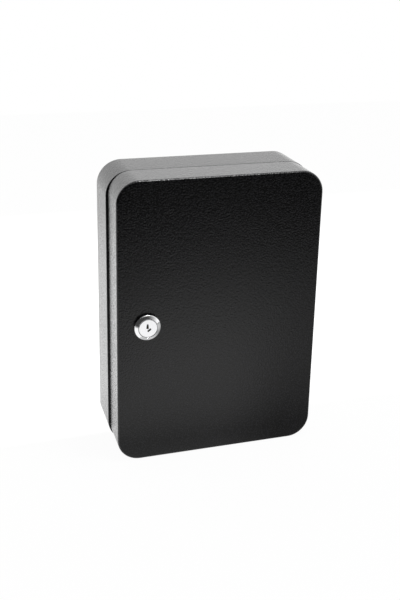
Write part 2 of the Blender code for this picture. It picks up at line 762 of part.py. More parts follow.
def make_lock_housing():
    """The turned housing: conical bezel, flatted body, bore, wafer grooves and rear stop lug."""
    axis = (LOCK_X, LOCK_Z)
    bezel_rear = DOOR_FRONT_Y - PIECE_GAP
    profile = (
        (BEZEL_RADIUS, bezel_rear),
        (BEZEL_RADIUS, DOOR_FRONT_Y - BEZEL_EDGE_HEIGHT),
        (BEZEL_RECESS_RADIUS + BEZEL_CREST_WIDTH, LOCK_FRONT_Y),
    )
    bezel = turned(profile, axis, BEZEL_STEPS)
    housing = new_object("lock_housing", mesh_from(bezel, "lock_housing"), BRIGHT_CHROME)
    body = flatted_circle(HOUSING_RADIUS, HOUSING_FLATS, 0.0)
    fuse(housing, prism(body, "Y", bezel_rear - BEZEL_RECESS_DEPTH / 2, HOUSING_REAR_Y))
    lug = sector(STOP_LUG_INNER_RADIUS, STOP_PLATE_RADIUS, STOP_LUG_ANGLE, STOP_LUG_HALF_ANGLE, LUG_STEPS)
    fuse(housing, prism(lug, "Y", HOUSING_REAR_Y - CUT_OVERRUN, HOUSING_REAR_Y + STOP_LUG_LENGTH))
    bore = lock_circle(PLUG_RADIUS + PIECE_GAP, ROUND_STEPS)
    rear = HOUSING_REAR_Y + STOP_LUG_LENGTH + CUT_OVERRUN
    cut(housing, prism(bore, "Y", LOCK_FRONT_Y - CUT_OVERRUN, rear))
    recess = lock_circle(BEZEL_RECESS_RADIUS, BEZEL_STEPS)
    cut(housing, prism(recess, "Y", LOCK_FRONT_Y - CUT_OVERRUN, RECESS_Y))
    for groove in wafer_grooves():
        cut(housing, groove)
    smooth_round(housing)
    return housing


def make_toothed_washer():
    """The toothed washer between the door's panel and the nut."""
    low_y = DOOR_INNER_Y + PIECE_GAP
    high_y = low_y + TOOTHED_WASHER_SHEET
    crest = TOOTHED_WASHER_RADIUS
    valley = crest - TOOTH_HEIGHT
    tooth = (valley, crest, crest, valley)
    step = 2 * math.pi / (TOOTHED_WASHER_TEETH * len(tooth))
    outline = []
    for i, radius in enumerate(tooth * TOOTHED_WASHER_TEETH):
        outline.append((LOCK_X + radius * math.cos(i * step), LOCK_Z + radius * math.sin(i * step)))
    plate = prism(outline, "Y", low_y, high_y)
    washer = new_object("lock_toothed_washer", mesh_from(plate, "lock_toothed_washer"), ZINC_PLATE)
    hole = lock_circle(HOUSING_RADIUS + PIECE_GAP, ROUND_STEPS)
    cut(washer, prism(hole, "Y", low_y - CUT_OVERRUN, high_y + CUT_OVERRUN))
    return washer


def make_lock_nut():
    """The hexagon nut that clamps the housing in the door."""
    low_y = DOOR_INNER_Y + 2 * PIECE_GAP + TOOTHED_WASHER_SHEET
    high_y = low_y + NUT_HEIGHT
    hexagon = lock_circle(NUT_ACROSS_FLATS / math.sqrt(3), 6)
    nut = new_object("lock_nut", mesh_from(prism(hexagon, "Y", low_y, high_y), "lock_nut"), ZINC_PLATE)
    hole = lock_circle(HOUSING_RADIUS + PIECE_GAP, ROUND_STEPS)
    cut(nut, prism(hole, "Y", low_y - CUT_OVERRUN, high_y + CUT_OVERRUN))
    smooth_round(nut)
    return nut


def keyway_outline():
    """The keyway's shape: an upright slot with a step to the right in its lower part."""
    half_width = KEYWAY_WIDTH / 2
    half_height = KEYWAY_HEIGHT / 2
    step_z = -KEYWAY_HEIGHT * KEYWAY_WARD_SHARE + KEYWAY_WIDTH / 2
    shift = KEYWAY_WIDTH / 2
    points = [
        (half_width, half_height),
        (-half_width, half_height),
        (-half_width, step_z),
        (-half_width + shift, step_z - shift),
        (-half_width + shift, -half_height),
        (half_width + shift, -half_height),
        (half_width + shift, step_z - shift),
        (half_width, step_z),
    ]
    return [(LOCK_X + x, LOCK_Z + z) for x, z in points]


def wafer_rooms():
    """The plug's cuts: a slot right through for each wafer, and a side pocket for its spring."""
    slots = bmesh.new()
    pockets = bmesh.new()
    half = WAFER_WIDTH / 2 + PIECE_GAP
    reach = PLUG_RADIUS + CUT_OVERRUN
    pocket_x = LOCK_X + half + LUG_WIDTH
    pocket_low = LOCK_Z - LUG_DROP - LUG_HEIGHT - WAFER_TRAVEL - PIECE_GAP
    pocket_high = LOCK_Z - LUG_DROP + SPRING_LENGTH + 2 * PIECE_GAP
    for i in range(WAFER_COUNT):
        low_y = wafer_middle(i) - WAFER_SHEET / 2 - PIECE_GAP
        high_y = wafer_middle(i) + WAFER_SHEET / 2 + PIECE_GAP
        add_box(slots, (LOCK_X - half, low_y, LOCK_Z - reach), (LOCK_X + half, high_y, LOCK_Z + reach))
        add_box(pockets, (LOCK_X, low_y, pocket_low), (pocket_x, high_y, pocket_high))
    return slots, pockets


def make_lock_plug():
    """The plug: face, barrel with keyway, wafer slots and spring pockets, square shank."""
    axis = (LOCK_X, LOCK_Z)
    profile = (
        (PLUG_HEAD_RADIUS - PLUG_HEAD_SINK, PLUG_FACE_Y),
        (PLUG_HEAD_RADIUS, PLUG_FACE_Y + PLUG_HEAD_SINK),
        (PLUG_HEAD_RADIUS, PLUG_HEAD_REAR_Y),
        (PLUG_RADIUS, PLUG_HEAD_REAR_Y),
        (PLUG_RADIUS, PLUG_REAR_Y),
    )
    body = turned(profile, axis, ROUND_STEPS)
    plug = new_object("lock_plug", mesh_from(body, "lock_plug"), BRIGHT_CHROME)
    half = SHANK_WIDTH / 2
    shank_low = (LOCK_X - half, PLUG_REAR_Y - CUT_OVERRUN, LOCK_Z - half)
    shank_high = (LOCK_X + half, SHANK_REAR_Y, LOCK_Z + half)
    fuse(plug, box(shank_low, shank_high))
    for room in wafer_rooms():
        cut(plug, room)
    cut(plug, prism(keyway_outline(), "Y", PLUG_FACE_Y - CUT_OVERRUN, PLUG_FACE_Y + KEYWAY_DEPTH))
    hole = lock_circle(CAM_SCREW_RADIUS + PIECE_GAP, SMALL_ROUND_STEPS)
    floor = CAM_SCREW_Y - CAM_SCREW_LENGTH - PIECE_GAP
    cut(plug, prism(hole, "Y", floor, SHANK_REAR_Y + CUT_OVERRUN))
    smooth_round(plug)
    return plug


def make_wafers():
    """Brass wafers with the key's window and a side lug under each spring."""
    wafers = []
    half = WAFER_WIDTH / 2
    end = math.atan2(wafer_half_height(), half)
    radius = PLUG_RADIUS
    top = arc_points((0.0, 0.0), radius, end, math.pi - end, WAFER_END_STEPS)
    bottom = arc_points((0.0, 0.0), radius, math.pi + end, 2 * math.pi - end, WAFER_END_STEPS)
    lug_x = half + LUG_WIDTH
    lug_top = -LUG_DROP
    lug_foot = lug_top - LUG_HEIGHT
    lug = [(half, lug_foot), (lug_x, lug_foot), (lug_x, lug_top), (half, lug_top)]
    outline = top + bottom + lug
    thick = WAFER_SHEET / 2
    window_low = (-WAFER_WINDOW_WIDTH / 2, -thick - CUT_OVERRUN, -WAFER_WINDOW_HEIGHT / 2)
    window_high = (WAFER_WINDOW_WIDTH / 2, thick + CUT_OVERRUN, WAFER_WINDOW_HEIGHT / 2)
    for i in range(WAFER_COUNT):
        name = f"lock_wafer_{i + 1}"
        wafer = new_object(name, mesh_from(prism(outline, "Y", -thick, thick), name), STAMPED_BRASS)
        cut(wafer, box(window_low, window_high))
        wafer.location = (LOCK_X, wafer_middle(i), LOCK_Z)
        wafers.append(wafer)
    return wafers


def coil_points():
    """Points along a spring's wire, from its foot at z = 0."""
    count = SPRING_TURNS * COIL_STEPS
    rise = SPRING_LENGTH - 2 * SPRING_WIRE_RADIUS
    return [
        (
            SPRING_COIL_RADIUS * math.cos(2 * math.pi * i / COIL_STEPS),
            SPRING_COIL_RADIUS * math.sin(2 * math.pi * i / COIL_STEPS),
            SPRING_WIRE_RADIUS + rise * i / count,
        )
        for i in range(count + 1)
    ]


def coil_gap(points):
    """The least gap between a spring's turns, from points at least half a turn apart."""
    apart = COIL_STEPS // 2
    pairs = [(i, j) for i in range(len(points)) for j in range(i + apart, len(points))]
    return min(math.dist(points[i], points[j]) for i, j in pairs) - 2 * SPRING_WIRE_RADIUS


def make_wafer_springs():
    """One small coil spring over each wafer's lug."""
    springs = []
    points = coil_points()
    x = LOCK_X + WAFER_WIDTH / 2 + PIECE_GAP + SPRING_COIL_RADIUS + SPRING_WIRE_RADIUS
    for i in range(WAFER_COUNT):
        name = f"wafer_spring_{i + 1}"
        curve = bpy.data.curves.new(name, "CURVE")
        curve.dimensions = "3D"
        curve.bevel_depth = SPRING_WIRE_RADIUS
        curve.bevel_resolution = 1
        curve.use_fill_caps = True
        spline = curve.splines.new("POLY")
        spline.points.add(len(points) - 1)
        for point, place in zip(spline.points, points):
            point.co = (*place, 1.0)
        spring = new_object(name, curve, PLAIN_STEEL)
        spring.location = (x, wafer_middle(i), LOCK_Z - LUG_DROP + PIECE_GAP)
        springs.append(spring)
    print(f"least gap between a spring's turns: {coil_gap(points):.6f} m")
    return springs


def square_hole(piece, low_y, high_y):
    """Cuts the hole that fits the plug's square shank."""
    half = SHANK_WIDTH / 2 + PIECE_GAP
    cut(piece, box((LOCK_X - half, low_y, LOCK_Z - half), (LOCK_X + half, high_y, LOCK_Z + half)))


def make_stop_plate():
    """The stop plate: it turns with the plug, and its waist leaves the lug a quarter turn."""
    low_y = STOP_PLATE_Y
    high_y = low_y + STOP_PLATE_SHEET
    room = STOP_LUG_HALF_ANGLE + STOP_FREE_ANGLE
    waist_start = STOP_LUG_ANGLE - room + 2 * math.pi
    waist_end = waist_start + LOCK_TRAVEL + 2 * room
    axis = (LOCK_X, LOCK_Z)
    wide = arc_points(axis, STOP_PLATE_RADIUS, waist_end - 2 * math.pi, waist_start, HALF_ROUND_STEPS)
    waist = arc_points(axis, STOP_PLATE_WAIST_RADIUS, waist_start, waist_end, WAIST_STEPS)
    sheet = prism(wide + waist, "Y", low_y, high_y)
    plate = new_object("lock_stop_plate", mesh_from(sheet, "lock_stop_plate"), ZINC_PLATE)
    square_hole(plate, low_y - CUT_OVERRUN, high_y + CUT_OVERRUN)
    smooth_round(plate)
    return plate


def round_cam_corners(bm, end_levels):
    """Rounds the four corners at the cam's two ends."""
    corners = []
    for edge in bm.edges:
        span = edge.verts[0].co - edge.verts[1].co
        across = abs(span.x) + abs(span.z)
        distance = min(abs(edge.verts[0].co.z - level) for level in end_levels)
        if across < SWEEP_GAP and distance < SWEEP_GAP:
            corners.append(edge)
    steps = CAM_CORNER_STEPS
    shape = CAM_CORNER_SHAPE_SHARE
    bmesh.ops.bevel(bm, geom=corners, offset=CAM_CORNER_RADIUS, segments=steps, profile=shape, affect="EDGES")


def make_cam():
    """The cranked cam. At rest it hangs down, clear of the casing's flange."""
    top = LOCK_Z + CAM_HUB_REACH
    crank_out = LOCK_Z - CAM_CRANK_REACH
    crank_in = crank_out + CAM_SHEET
    tip = LOCK_Z - CAM_REACH
    outline = [
        (CAM_Y, top),
        (CAM_Y, crank_out),
        (CAM_TIP_Y, crank_out),
        (CAM_TIP_Y, tip),
        (CAM_TIP_Y + CAM_SHEET, tip),
        (CAM_TIP_Y + CAM_SHEET, crank_in),
        (CAM_REAR_Y, crank_in),
        (CAM_REAR_Y, top),
    ]
    half = CAM_WIDTH / 2
    bm = prism(outline, "X", LOCK_X - half, LOCK_X + half)
    round_cam_corners(bm, (top, tip))
    cam = new_object("lock_cam", mesh_from(bm, "lock_cam"), ZINC_PLATE)
    square_hole(cam, CAM_Y - CUT_OVERRUN, CAM_REAR_Y + CUT_OVERRUN)
    smooth_round(cam)
    return cam


def make_cam_washer():
    """The split spring washer under the cam screw's head."""
    low_y = CAM_WASHER_Y
    high_y = low_y + CAM_WASHER_SHEET
    inner = CAM_SCREW_RADIUS + PIECE_GAP
    ring = ring_body(CAM_WASHER_RADIUS, inner, low_y, high_y, (LOCK_X, LOCK_Z), ROUND_STEPS)
    washer = new_object("cam_spring_washer", mesh_from(ring, "cam_spring_washer"), PLAIN_STEEL)
    half = CAM_WASHER_SPLIT / 2
    split_low = (LOCK_X - half, low_y - CUT_OVERRUN, LOCK_Z)
    split_high = (LOCK_X + half, high_y + CUT_OVERRUN, LOCK_Z + CAM_WASHER_RADIUS + CUT_OVERRUN)
    cut(washer, box(split_low, split_high))
    smooth_round(washer)
    return washer


def make_cam_screw():
    """The slotted screw that holds the cam on the plug's shank."""
    axis = (LOCK_X, LOCK_Z)
    head_rear = CAM_SCREW_Y + CAM_SCREW_HEAD_HEIGHT
    chamfer = CAM_SCREW_CHAMFER
    profile = (
        (CAM_SCREW_RADIUS, CAM_SCREW_Y - CAM_SCREW_LENGTH),
        (CAM_SCREW_RADIUS, CAM_SCREW_Y),
        (CAM_SCREW_HEAD_RADIUS, CAM_SCREW_Y),
        (CAM_SCREW_HEAD_RADIUS, head_rear - chamfer),
        (CAM_SCREW_HEAD_RADIUS - chamfer, head_rear),
    )
    screw = new_object("cam_screw", mesh_from(turned(profile, axis, ROUND_STEPS), "cam_screw"), ZINC_PLATE)
    half = CROSS_SLOT_WIDTH / 2
    reach = CAM_SCREW_HEAD_RADIUS + CUT_OVERRUN
    slot_low = (LOCK_X - reach, head_rear - CROSS_SLOT_DEPTH, LOCK_Z - half)
    slot_high = (LOCK_X + reach, head_rear + CUT_OVERRUN, LOCK_Z + half)
    cut(screw, box(slot_low, slot_high))
    smooth_round(screw)
    return screw


def axis_empty(name, place):
    """An empty on a joint's axis."""
    made = bpy.data.objects.new(name, None)
    made.location = place
    bpy.context.scene.collection.objects.link(made)
    return made


def hang_on(parent, place, children):
    """Parents pieces to an empty and leaves them where they are."""
    for child in children:
        child.parent = parent
        child.matrix_parent_inverse = Matrix.Translation(Vector(place)).inverted()


def build():
    """Makes every piece and hangs the moving ones on their joints' axes."""
    clear_scene()
    make_rear_casing()
    make_casing_leaf()
    make_hinge_pin()
    make_rails("casing", CASING_INNER_Y, -1)
    door_pieces = [make_door_shell(), make_door_leaf()]
    door_pieces += make_rails("door", DOOR_INNER_Y, 1)
    door_pieces += [make_lock_housing(), make_toothed_washer(), make_lock_nut()]
    core_pieces = [make_lock_plug(), make_stop_plate(), make_cam(), make_cam_washer(), make_cam_screw()]
    core_pieces += make_wafers() + make_wafer_springs()
    hinge_place = (HINGE_X, HINGE_Y, MID_Z)
    lock_place = (LOCK_X, PLUG_FACE_Y, LOCK_Z)
    hinge_axis = axis_empty("door_hinge_axis", hinge_place)
    lock_axis = axis_empty("lock_turn_axis", lock_place)
    hang_on(hinge_axis, hinge_place, door_pieces + [lock_axis])
    hang_on(lock_axis, lock_place, core_pieces)


build()
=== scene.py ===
"""The looks of a wall key cabinet: black textured paint, bright chrome and zinc plate."""

import math

import bmesh
import bpy
from mathutils import Matrix, Vector


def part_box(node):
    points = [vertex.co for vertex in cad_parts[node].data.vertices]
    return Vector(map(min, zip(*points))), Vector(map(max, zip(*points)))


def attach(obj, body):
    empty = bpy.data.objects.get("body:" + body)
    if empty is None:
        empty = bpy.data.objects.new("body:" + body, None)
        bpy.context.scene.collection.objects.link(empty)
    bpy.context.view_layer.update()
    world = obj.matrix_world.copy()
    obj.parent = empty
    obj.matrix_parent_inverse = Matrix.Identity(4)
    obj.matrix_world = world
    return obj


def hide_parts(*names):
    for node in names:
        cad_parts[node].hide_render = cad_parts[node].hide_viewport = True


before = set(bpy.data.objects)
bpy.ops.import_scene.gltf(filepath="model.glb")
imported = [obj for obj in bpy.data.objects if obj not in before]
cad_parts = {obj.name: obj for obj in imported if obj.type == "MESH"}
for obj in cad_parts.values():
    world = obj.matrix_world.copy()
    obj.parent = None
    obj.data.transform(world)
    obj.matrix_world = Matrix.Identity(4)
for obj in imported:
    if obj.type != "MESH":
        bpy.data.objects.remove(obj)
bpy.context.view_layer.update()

# Camera, fitted to edges measured in the photograph
IMAGE_HEIGHT = 600
FOCAL_PIXELS = 902.36
OPTICAL_AXIS_ROW = 225
SENSOR_SIZE = 36.0
CLIP_NEAR = 0.01
CLIP_FAR = 20.0
CAMERA_PLACE = (-0.22592, -0.69901, 0.43788)
CAMERA_YAW = math.radians(-17.301)
CAMERA_PITCH = math.radians(-18.164)
CAMERA_ROLL = math.radians(-1.225)

# Pressed shells, in metres
SHEET = 0.0012
CASING_CORNER_RADIUS = 0.021
DOOR_CORNER_RADIUS = 0.0195
CASING_REAR_FILLET = 0.004
DOOR_FRONT_FILLET = 0.0020
FLANGE_WIDTH = 0.009
FLANGE_BEND_RADIUS = 0.0005
DOOR_RIM_REACH = 0.0002
EDGE_ROUNDING = 0.00025
WALL_HOLE_RADIUS = 0.0025
WALL_HOLE_SIDE_ROOM = 0.030
WALL_HOLE_END_ROOM = 0.025
PIECE_GAP = 0.0003
SWEEP_GAP = 0.0005
CUT_OVERRUN = 0.001
BOSS_RADIUS = 0.0035
BOSS_HEIGHT = 0.004
BOSS_HOLE_RADIUS = 0.0018
BOSS_HOLE_DEPTH = 0.0036
HINGE_KNUCKLE_RADIUS = 0.0024

# Lock
BEZEL_WALL_HEIGHT = 0.0029
BEZEL_SLOPE_WIDTH = 0.0029
BEZEL_CREST_DROP = 0.0003
BEZEL_RECESS_DEPTH = 0.0013
BEZEL_EDGE_ROUNDING = 0.0006
HOUSING_RADIUS = 0.0092
HOUSING_FLATS = 0.0165
THREAD_PITCH = 0.001
THREAD_DEPTH = 0.0004
STOP_LUG_LENGTH = 0.0016
STOP_LUG_ANGLE = math.radians(45.0)
STOP_LUG_HALF_ANGLE = math.radians(11.0)
STOP_FREE_ANGLE = math.radians(2.0)
LOCK_TRAVEL = math.radians(90.0)
STOP_PLATE_RADIUS = 0.0088
PLUG_HEAD_RADIUS = 0.0078
PLUG_RADIUS = 0.0062
PLUG_EDGE_ROUNDING = 0.0003
SHANK_WIDTH = 0.007
KEYWAY_X = -0.0004
KEYWAY_WIDTH = 0.0022
KEYWAY_TOP_WIDTH = 0.0013
KEYWAY_TOP_Z = 0.0039
KEYWAY_FOOT_Z = -0.0003
KEYWAY_DEPTH = 0.0165
KEYWAY_CORNER = 0.0005
KEYWAY_SLANT = math.radians(38.0)
KEYWAY_SLOT_START = (-0.0004, -0.0027)
KEYWAY_SLOT_LENGTH = 0.0036
KEYWAY_SLOT_WIDTH = 0.0016
WAFER_COUNT = 5
WAFER_TRAVEL = 0.0008
LUG_ROOM = 0.0024
TOOTH_HEIGHT = 0.0010
WASHER_TEETH = 12
WASHER_TWIST_SHARE = 0.2
NUT_MOUTH = 0.0004
NUT_SIDES = 6
CAM_SHEET = 0.002
CAM_CRANK_REACH = 0.0165
CAM_BEND = 0.0012
CAM_CORNER_RADIUS = 0.003
CAM_WASHER_SPLIT = 0.0008
CAM_SCREW_RADIUS = 0.002
CAM_SCREW_HEAD_HEIGHT = 0.0025
CAM_SCREW_CROWN = 0.0006
SLOT_WIDTH = 0.0006
SLOT_DEPTH = 0.001

# Hook rails and their screws
RAIL_SHEET = 0.001
RAIL_CORNER = 0.001
HOOK_COUNT = 6
HOOK_PITCH = 0.026
HOOK_WIDTH = 0.004
HOOK_REACH = 0.009
HOOK_TIP_HEIGHT = 0.0055
HOOK_BEND_RADIUS = 0.0018
HOOK_DROP = 0.004
HOOK_EDGE = 0.0002
HOOK_TIP_SHARE = 0.06
HOOK_WINDOW_HEIGHT = 0.009
HOOK_WINDOW_SIDE_GAP = 0.0004
SCREW_HOLE_RADIUS = 0.0018
SCREW_SHANK_RADIUS = 0.0015
SCREW_LENGTH = 0.0042
SCREW_HEAD_HEIGHT = 0.002
SCREW_CROWN = 0.0008
SCREW_EASING = 0.00005
CROSS_LENGTH = 0.003
CROSS_DEPTH = 0.001
CROSS_TAPER = 0.45
SCREW_RIM_SHARE = 0.6
SCREW_CROWN_SHARE = 0.6
SCREW_TOP_SHARE = 0.2

# Hinge
HINGE_KNUCKLES = 9
LEAF_SHEET = 0.0009
LEAF_SCREEN = 0.0029
PIN_RADIUS = 0.001

# Black paint: scales in cycles per metre, heights in metres, coats by weight
# Paint colours: painted shade in the grain's hollows and a painted highlight on its crests
PAINT_SHADED_HOLLOW = (0.0008, 0.0008, 0.0010)
PAINT_LIT_CREST = (0.0095, 0.0095, 0.0110)
PAINT_ROUGHNESS = (0.20, 0.30)
PAINT_ROUGHNESS_SCALE = 700.0
PAINT_IOR = 1.31
CASING_COAT = 0.75
DOOR_COAT = 1.0
COAT_ROUGHNESS = 0.16
WRINKLE_SCALE = 720.0
WRINKLE_SMOOTHNESS = 0.6
WRINKLE_REACH = 0.8
WRINKLE_HEIGHT = 0.00015
WRINKLE_STRENGTH = 0.9
SPECKLE_SCALE = 2600.0
SPECKLE_DETAIL = 2.0
SPECKLE_HEIGHT = 0.00003
SPECKLE_STRENGTH = 0.4

# Metals: dark and light colour, roughness, grain in cycles per metre, its height and, if uneven, its stretch
METALS = {
    "zinc_plate": ((0.56, 0.57, 0.58), (0.66, 0.67, 0.69), (0.26, 0.38), 500.0, 0.00001, (1, 1, 6)),
    "spring_steel": ((0.48, 0.48, 0.49), (0.58, 0.58, 0.59), (0.22, 0.34), 900.0, 0.000008),
    "stamped_brass": ((0.74, 0.55, 0.26), (0.82, 0.65, 0.35), (0.24, 0.36), 900.0, 0.000008),
    "bright_chrome": ((0.96, 0.96, 0.97), (0.98, 0.98, 0.99), (0.05, 0.09), 900.0, 0.000004),
}
STAIN_SCALE = 120.0
STREAK_ROUGHNESS = 0.6
GRAIN_STRENGTH = 0.4
NOISE_DETAIL = 3.0
NOISE_ROUGHNESS = 0.5
NOISE_MIDDLE = (0.3, 0.7)
COLOR_BLEND = (0.35, 0.65)

# Easing of small pieces' edges
FINE_ROUNDING = 0.0001
EASING_SHARE = 0.45

# Floor, surroundings and lamp. FLOOR_GLOW: (y, level) of the painted light that gloss shows on the floor
FLOOR_HALF_WIDTH = 1.2
FLOOR_FRONT_Y = -0.85
FLOOR_BACK_Y = 1.5
FLOOR_COLOR = (0.85, 0.85, 0.85, 1.0)
FLOOR_GLOW_SHARE = 0.96
FLOOR_GLOW = (
    (-0.82, 0.05),
    (-0.66, 0.16),
    (-0.50, 0.38),
    (-0.33, 0.92),
    (-0.20, 1.0),
    (-0.12, 0.92),
    (-0.09, 0.75),
    (-0.06, 0.50),
    (0.02, 1.0),
    (0.40, 1.0),
    (0.60, 0.85),
    (0.90, 0.5),
    (1.40, 0.45),
)
# Painted light: the floor behind the object shows brighter in gloss
FLOOR_BACK_BOOST = 1.35
FLOOR_BOOST_Y = (0.0, 0.1)
# Painted pool of light before the door, seen in gloss
POOL_HALF_WIDTH = 0.09
POOL_REACH = 0.66
POOL_START = -0.05
POOL_SLANT = 0.28
POOL_EDGE_LEVEL = 0.5
POOL_EDGE = (0.55, 1.15)
POOL_BACK_Y = (-0.03, 0.0)
# Painted light on the floor at the front left, seen in gloss
LEFT_FLOOR_X = (-0.105, -0.075)
LEFT_FLOOR_Y = (-0.45, -0.30)
WORLD_LEVEL = 1.0
DARK_LEVEL = 0.05
DARK_LEFT = (-0.75, -0.6, 0.28)
DARK_LEFT_EDGE = (0.62, 0.72)
DARK_FRONT = (0.1, -1.0, 0.05)
DARK_FRONT_EDGE = (0.62, 0.86)
KEY_PLACE = (0.20, -0.20, 1.25)
KEY_TARGET = (0.0, 0.0, 0.15)
KEY_WIDTH = 0.22
KEY_LENGTH = 0.5
KEY_POWER = 6.0

# How finely round shapes are drawn
CORNER_STEPS = 40
FILLET_STEPS = 10
ROUND_STEPS = 96
HOLE_STEPS = 32
BOSS_STEPS = 24
LUG_STEPS = 12
HOOK_BEND_STEPS = 12
HOOK_TIP_STEPS = 10
EASING_STEPS = 3
FINE_STEPS = 2
PROFILE_STEPS = 4
CAM_BEND_STEPS = 5
CAM_CORNER_STEPS = 8
SHARP_ANGLE = math.radians(35.0)


def node_box(name):
    """A CAD node's corners at rest."""
    low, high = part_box(name)
    return Vector(low), Vector(high)


CASING_LOW, CASING_HIGH = node_box("rear_casing")
DOOR_LOW, DOOR_HIGH = node_box("door_shell")
LOCK_LOW, LOCK_HIGH = node_box("lock_housing")
HINGE_LOW, HINGE_HIGH = node_box("hinge_pin")
PLUG_LOW, PLUG_HIGH = node_box("lock_plug")
MID_Z = (CASING_LOW.z + CASING_HIGH.z) / 2
LOCK_X = (LOCK_LOW.x + LOCK_HIGH.x) / 2
LOCK_Z = (LOCK_LOW.z + LOCK_HIGH.z) / 2
LOCK_AXIS = (LOCK_X, LOCK_Z)
HINGE_X = (HINGE_LOW.x + HINGE_HIGH.x) / 2
HINGE_Y = (HINGE_LOW.y + HINGE_HIGH.y) / 2
HINGE_AXIS = (HINGE_X, HINGE_Y)
DOOR_FRONT_Y = DOOR_LOW.y


def place_camera():
    """The photograph's camera: its view, and its frame of 400 by 600."""
    data = bpy.data.cameras.new("camera")
    data.sensor_fit = "AUTO"
    data.sensor_width = SENSOR_SIZE
    data.lens = FOCAL_PIXELS * SENSOR_SIZE / IMAGE_HEIGHT
    data.shift_y = (OPTICAL_AXIS_ROW - IMAGE_HEIGHT / 2) / IMAGE_HEIGHT
    data.clip_start = CLIP_NEAR
    data.clip_end = CLIP_FAR
    camera = bpy.data.objects.new("camera", data)
    level = Matrix.Rotation(math.pi / 2, 3, "X")
    yaw = Matrix.Rotation(CAMERA_YAW, 3, "Z")
    pitch = Matrix.Rotation(CAMERA_PITCH, 3, "X")
    roll = Matrix.Rotation(CAMERA_ROLL, 3, "Y")
    turn = yaw @ pitch @ roll @ level
    camera.matrix_world = Matrix.Translation(CAMERA_PLACE) @ turn.to_4x4()
    bpy.context.scene.collection.objects.link(camera)
    bpy.context.scene.camera = camera


def node_tree(name):
    """A new material's tree and its Principled shader."""
    made = bpy.data.materials.new(name)
    made.use_nodes = True
    tree = made.node_tree
    return made, tree, tree.nodes["Principled BSDF"]


def add_node(tree, kind, **settings):
    """Adds a shader node with its settings."""
    made = tree.nodes.new(f"ShaderNode{kind}")
    for key, value in settings.items():
        setattr(made, key, value)
    return made


def set_inputs(node, values):
    """Sets a node's input sockets by name."""
    for key, value in values.items():
        node.inputs[key].default_value = value


def object_place(tree, scale):
    """A point's place in its piece's own coordinates, scaled along each axis."""
    coordinates = add_node(tree, "TexCoord")
    mapping = add_node(tree, "Mapping")
    mapping.inputs["Scale"].default_value = scale
    tree.links.new(coordinates.outputs["Object"], mapping.inputs["Vector"])
    return mapping.outputs["Vector"]


def object_noise(tree, scale, detail=NOISE_DETAIL, roughness=NOISE_ROUGHNESS, stretch=(1, 1, 1)):
    """Noise in the piece's own coordinates. scale is in cycles per metre."""
    noise = add_node(tree, "TexNoise")
    set_inputs(noise, {"Scale": 1.0, "Detail": detail, "Roughness": roughness})
    tree.links.new(object_place(tree, [scale * s for s in stretch]), noise.inputs["Vector"])
    return noise.outputs["Fac"]


def mapped(tree, value, low, high, start=0.0, end=1.0):
    """Maps a value between start and end to between low and high."""
    node = add_node(tree, "MapRange")
    set_inputs(node, {"From Min": start, "From Max": end, "To Min": low, "To Max": high})
    tree.links.new(value, node.inputs["Value"])
    return node.outputs["Result"]


def mixed_color(tree, value, dark, light):
    """Blends two colours by a value's middle range."""
    ramp = add_node(tree, "ValToRGB")
    ramp.color_ramp.elements[0].color = (*dark, 1.0)
    ramp.color_ramp.elements[1].color = (*light, 1.0)
    ramp.color_ramp.elements[0].position = COLOR_BLEND[0]
    ramp.color_ramp.elements[1].position = COLOR_BLEND[1]
    tree.links.new(value, ramp.inputs["Fac"])
    return ramp.outputs["Color"]


def bumped(tree, height, distance, strength, below=None):
    """A bump of a height, over another bump."""
    bump = add_node(tree, "Bump")
    set_inputs(bump, {"Distance": distance, "Strength": strength})
    tree.links.new(height, bump.inputs["Height"])
    if below is not None:
        tree.links.new(below, bump.inputs["Normal"])
    return bump.outputs["Normal"]


def wrinkle_height(tree):
    """The paint's raised grain: rounded cells, as of fine leather."""
    cells = add_node(tree, "TexVoronoi", feature="SMOOTH_F1")
    set_inputs(cells, {"Scale": 1.0, "Smoothness": WRINKLE_SMOOTHNESS})
    tree.links.new(object_place(tree, [WRINKLE_SCALE] * 3), cells.inputs["Vector"])
    return mapped(tree, cells.outputs["Distance"], 1.0, 0.0, 0.0, WRINKLE_REACH)


def black_paint(name, coat):
    """Black textured powder coat, satin below and glossier on top. coat is the glossy layer's weight."""
    made, tree, shader = node_tree(name)
    height = wrinkle_height(tree)
    # Painted shade and highlight: the colour darkens in the grain's hollows and lightens on its crests
    tree.links.new(mixed_color(tree, height, PAINT_SHADED_HOLLOW, PAINT_LIT_CREST), shader.inputs["Base Color"])
    patches = object_noise(tree, PAINT_ROUGHNESS_SCALE)
    tree.links.new(mapped(tree, patches, *PAINT_ROUGHNESS, *NOISE_MIDDLE), shader.inputs["Roughness"])
    grain = bumped(tree, height, WRINKLE_HEIGHT, WRINKLE_STRENGTH)
    speckle = object_noise(tree, SPECKLE_SCALE, SPECKLE_DETAIL)
    fine = bumped(tree, speckle, SPECKLE_HEIGHT, SPECKLE_STRENGTH, grain)
    tree.links.new(fine, shader.inputs["Normal"])
    tree.links.new(fine, shader.inputs["Coat Normal"])
    set_inputs(shader, {"IOR": PAINT_IOR, "Coat Weight": coat})
    set_inputs(shader, {"Coat Roughness": COAT_ROUGHNESS, "Coat IOR": PAINT_IOR})
    return made


def metal(name, dark, light, roughness, grain, height, stretch=(1, 1, 1)):
    """A bare or plated metal with slight stains and fine grain."""
    made, tree, shader = node_tree(name)
    color = mixed_color(tree, object_noise(tree, STAIN_SCALE), dark, light)
    tree.links.new(color, shader.inputs["Base Color"])
    streaks = object_noise(tree, grain, NOISE_DETAIL, STREAK_ROUGHNESS, stretch)
    tree.links.new(mapped(tree, streaks, *roughness, *NOISE_MIDDLE), shader.inputs["Roughness"])
    tree.links.new(bumped(tree, streaks, height, GRAIN_STRENGTH), shader.inputs["Normal"])
    shader.inputs["Metallic"].default_value = 1.0
    return made


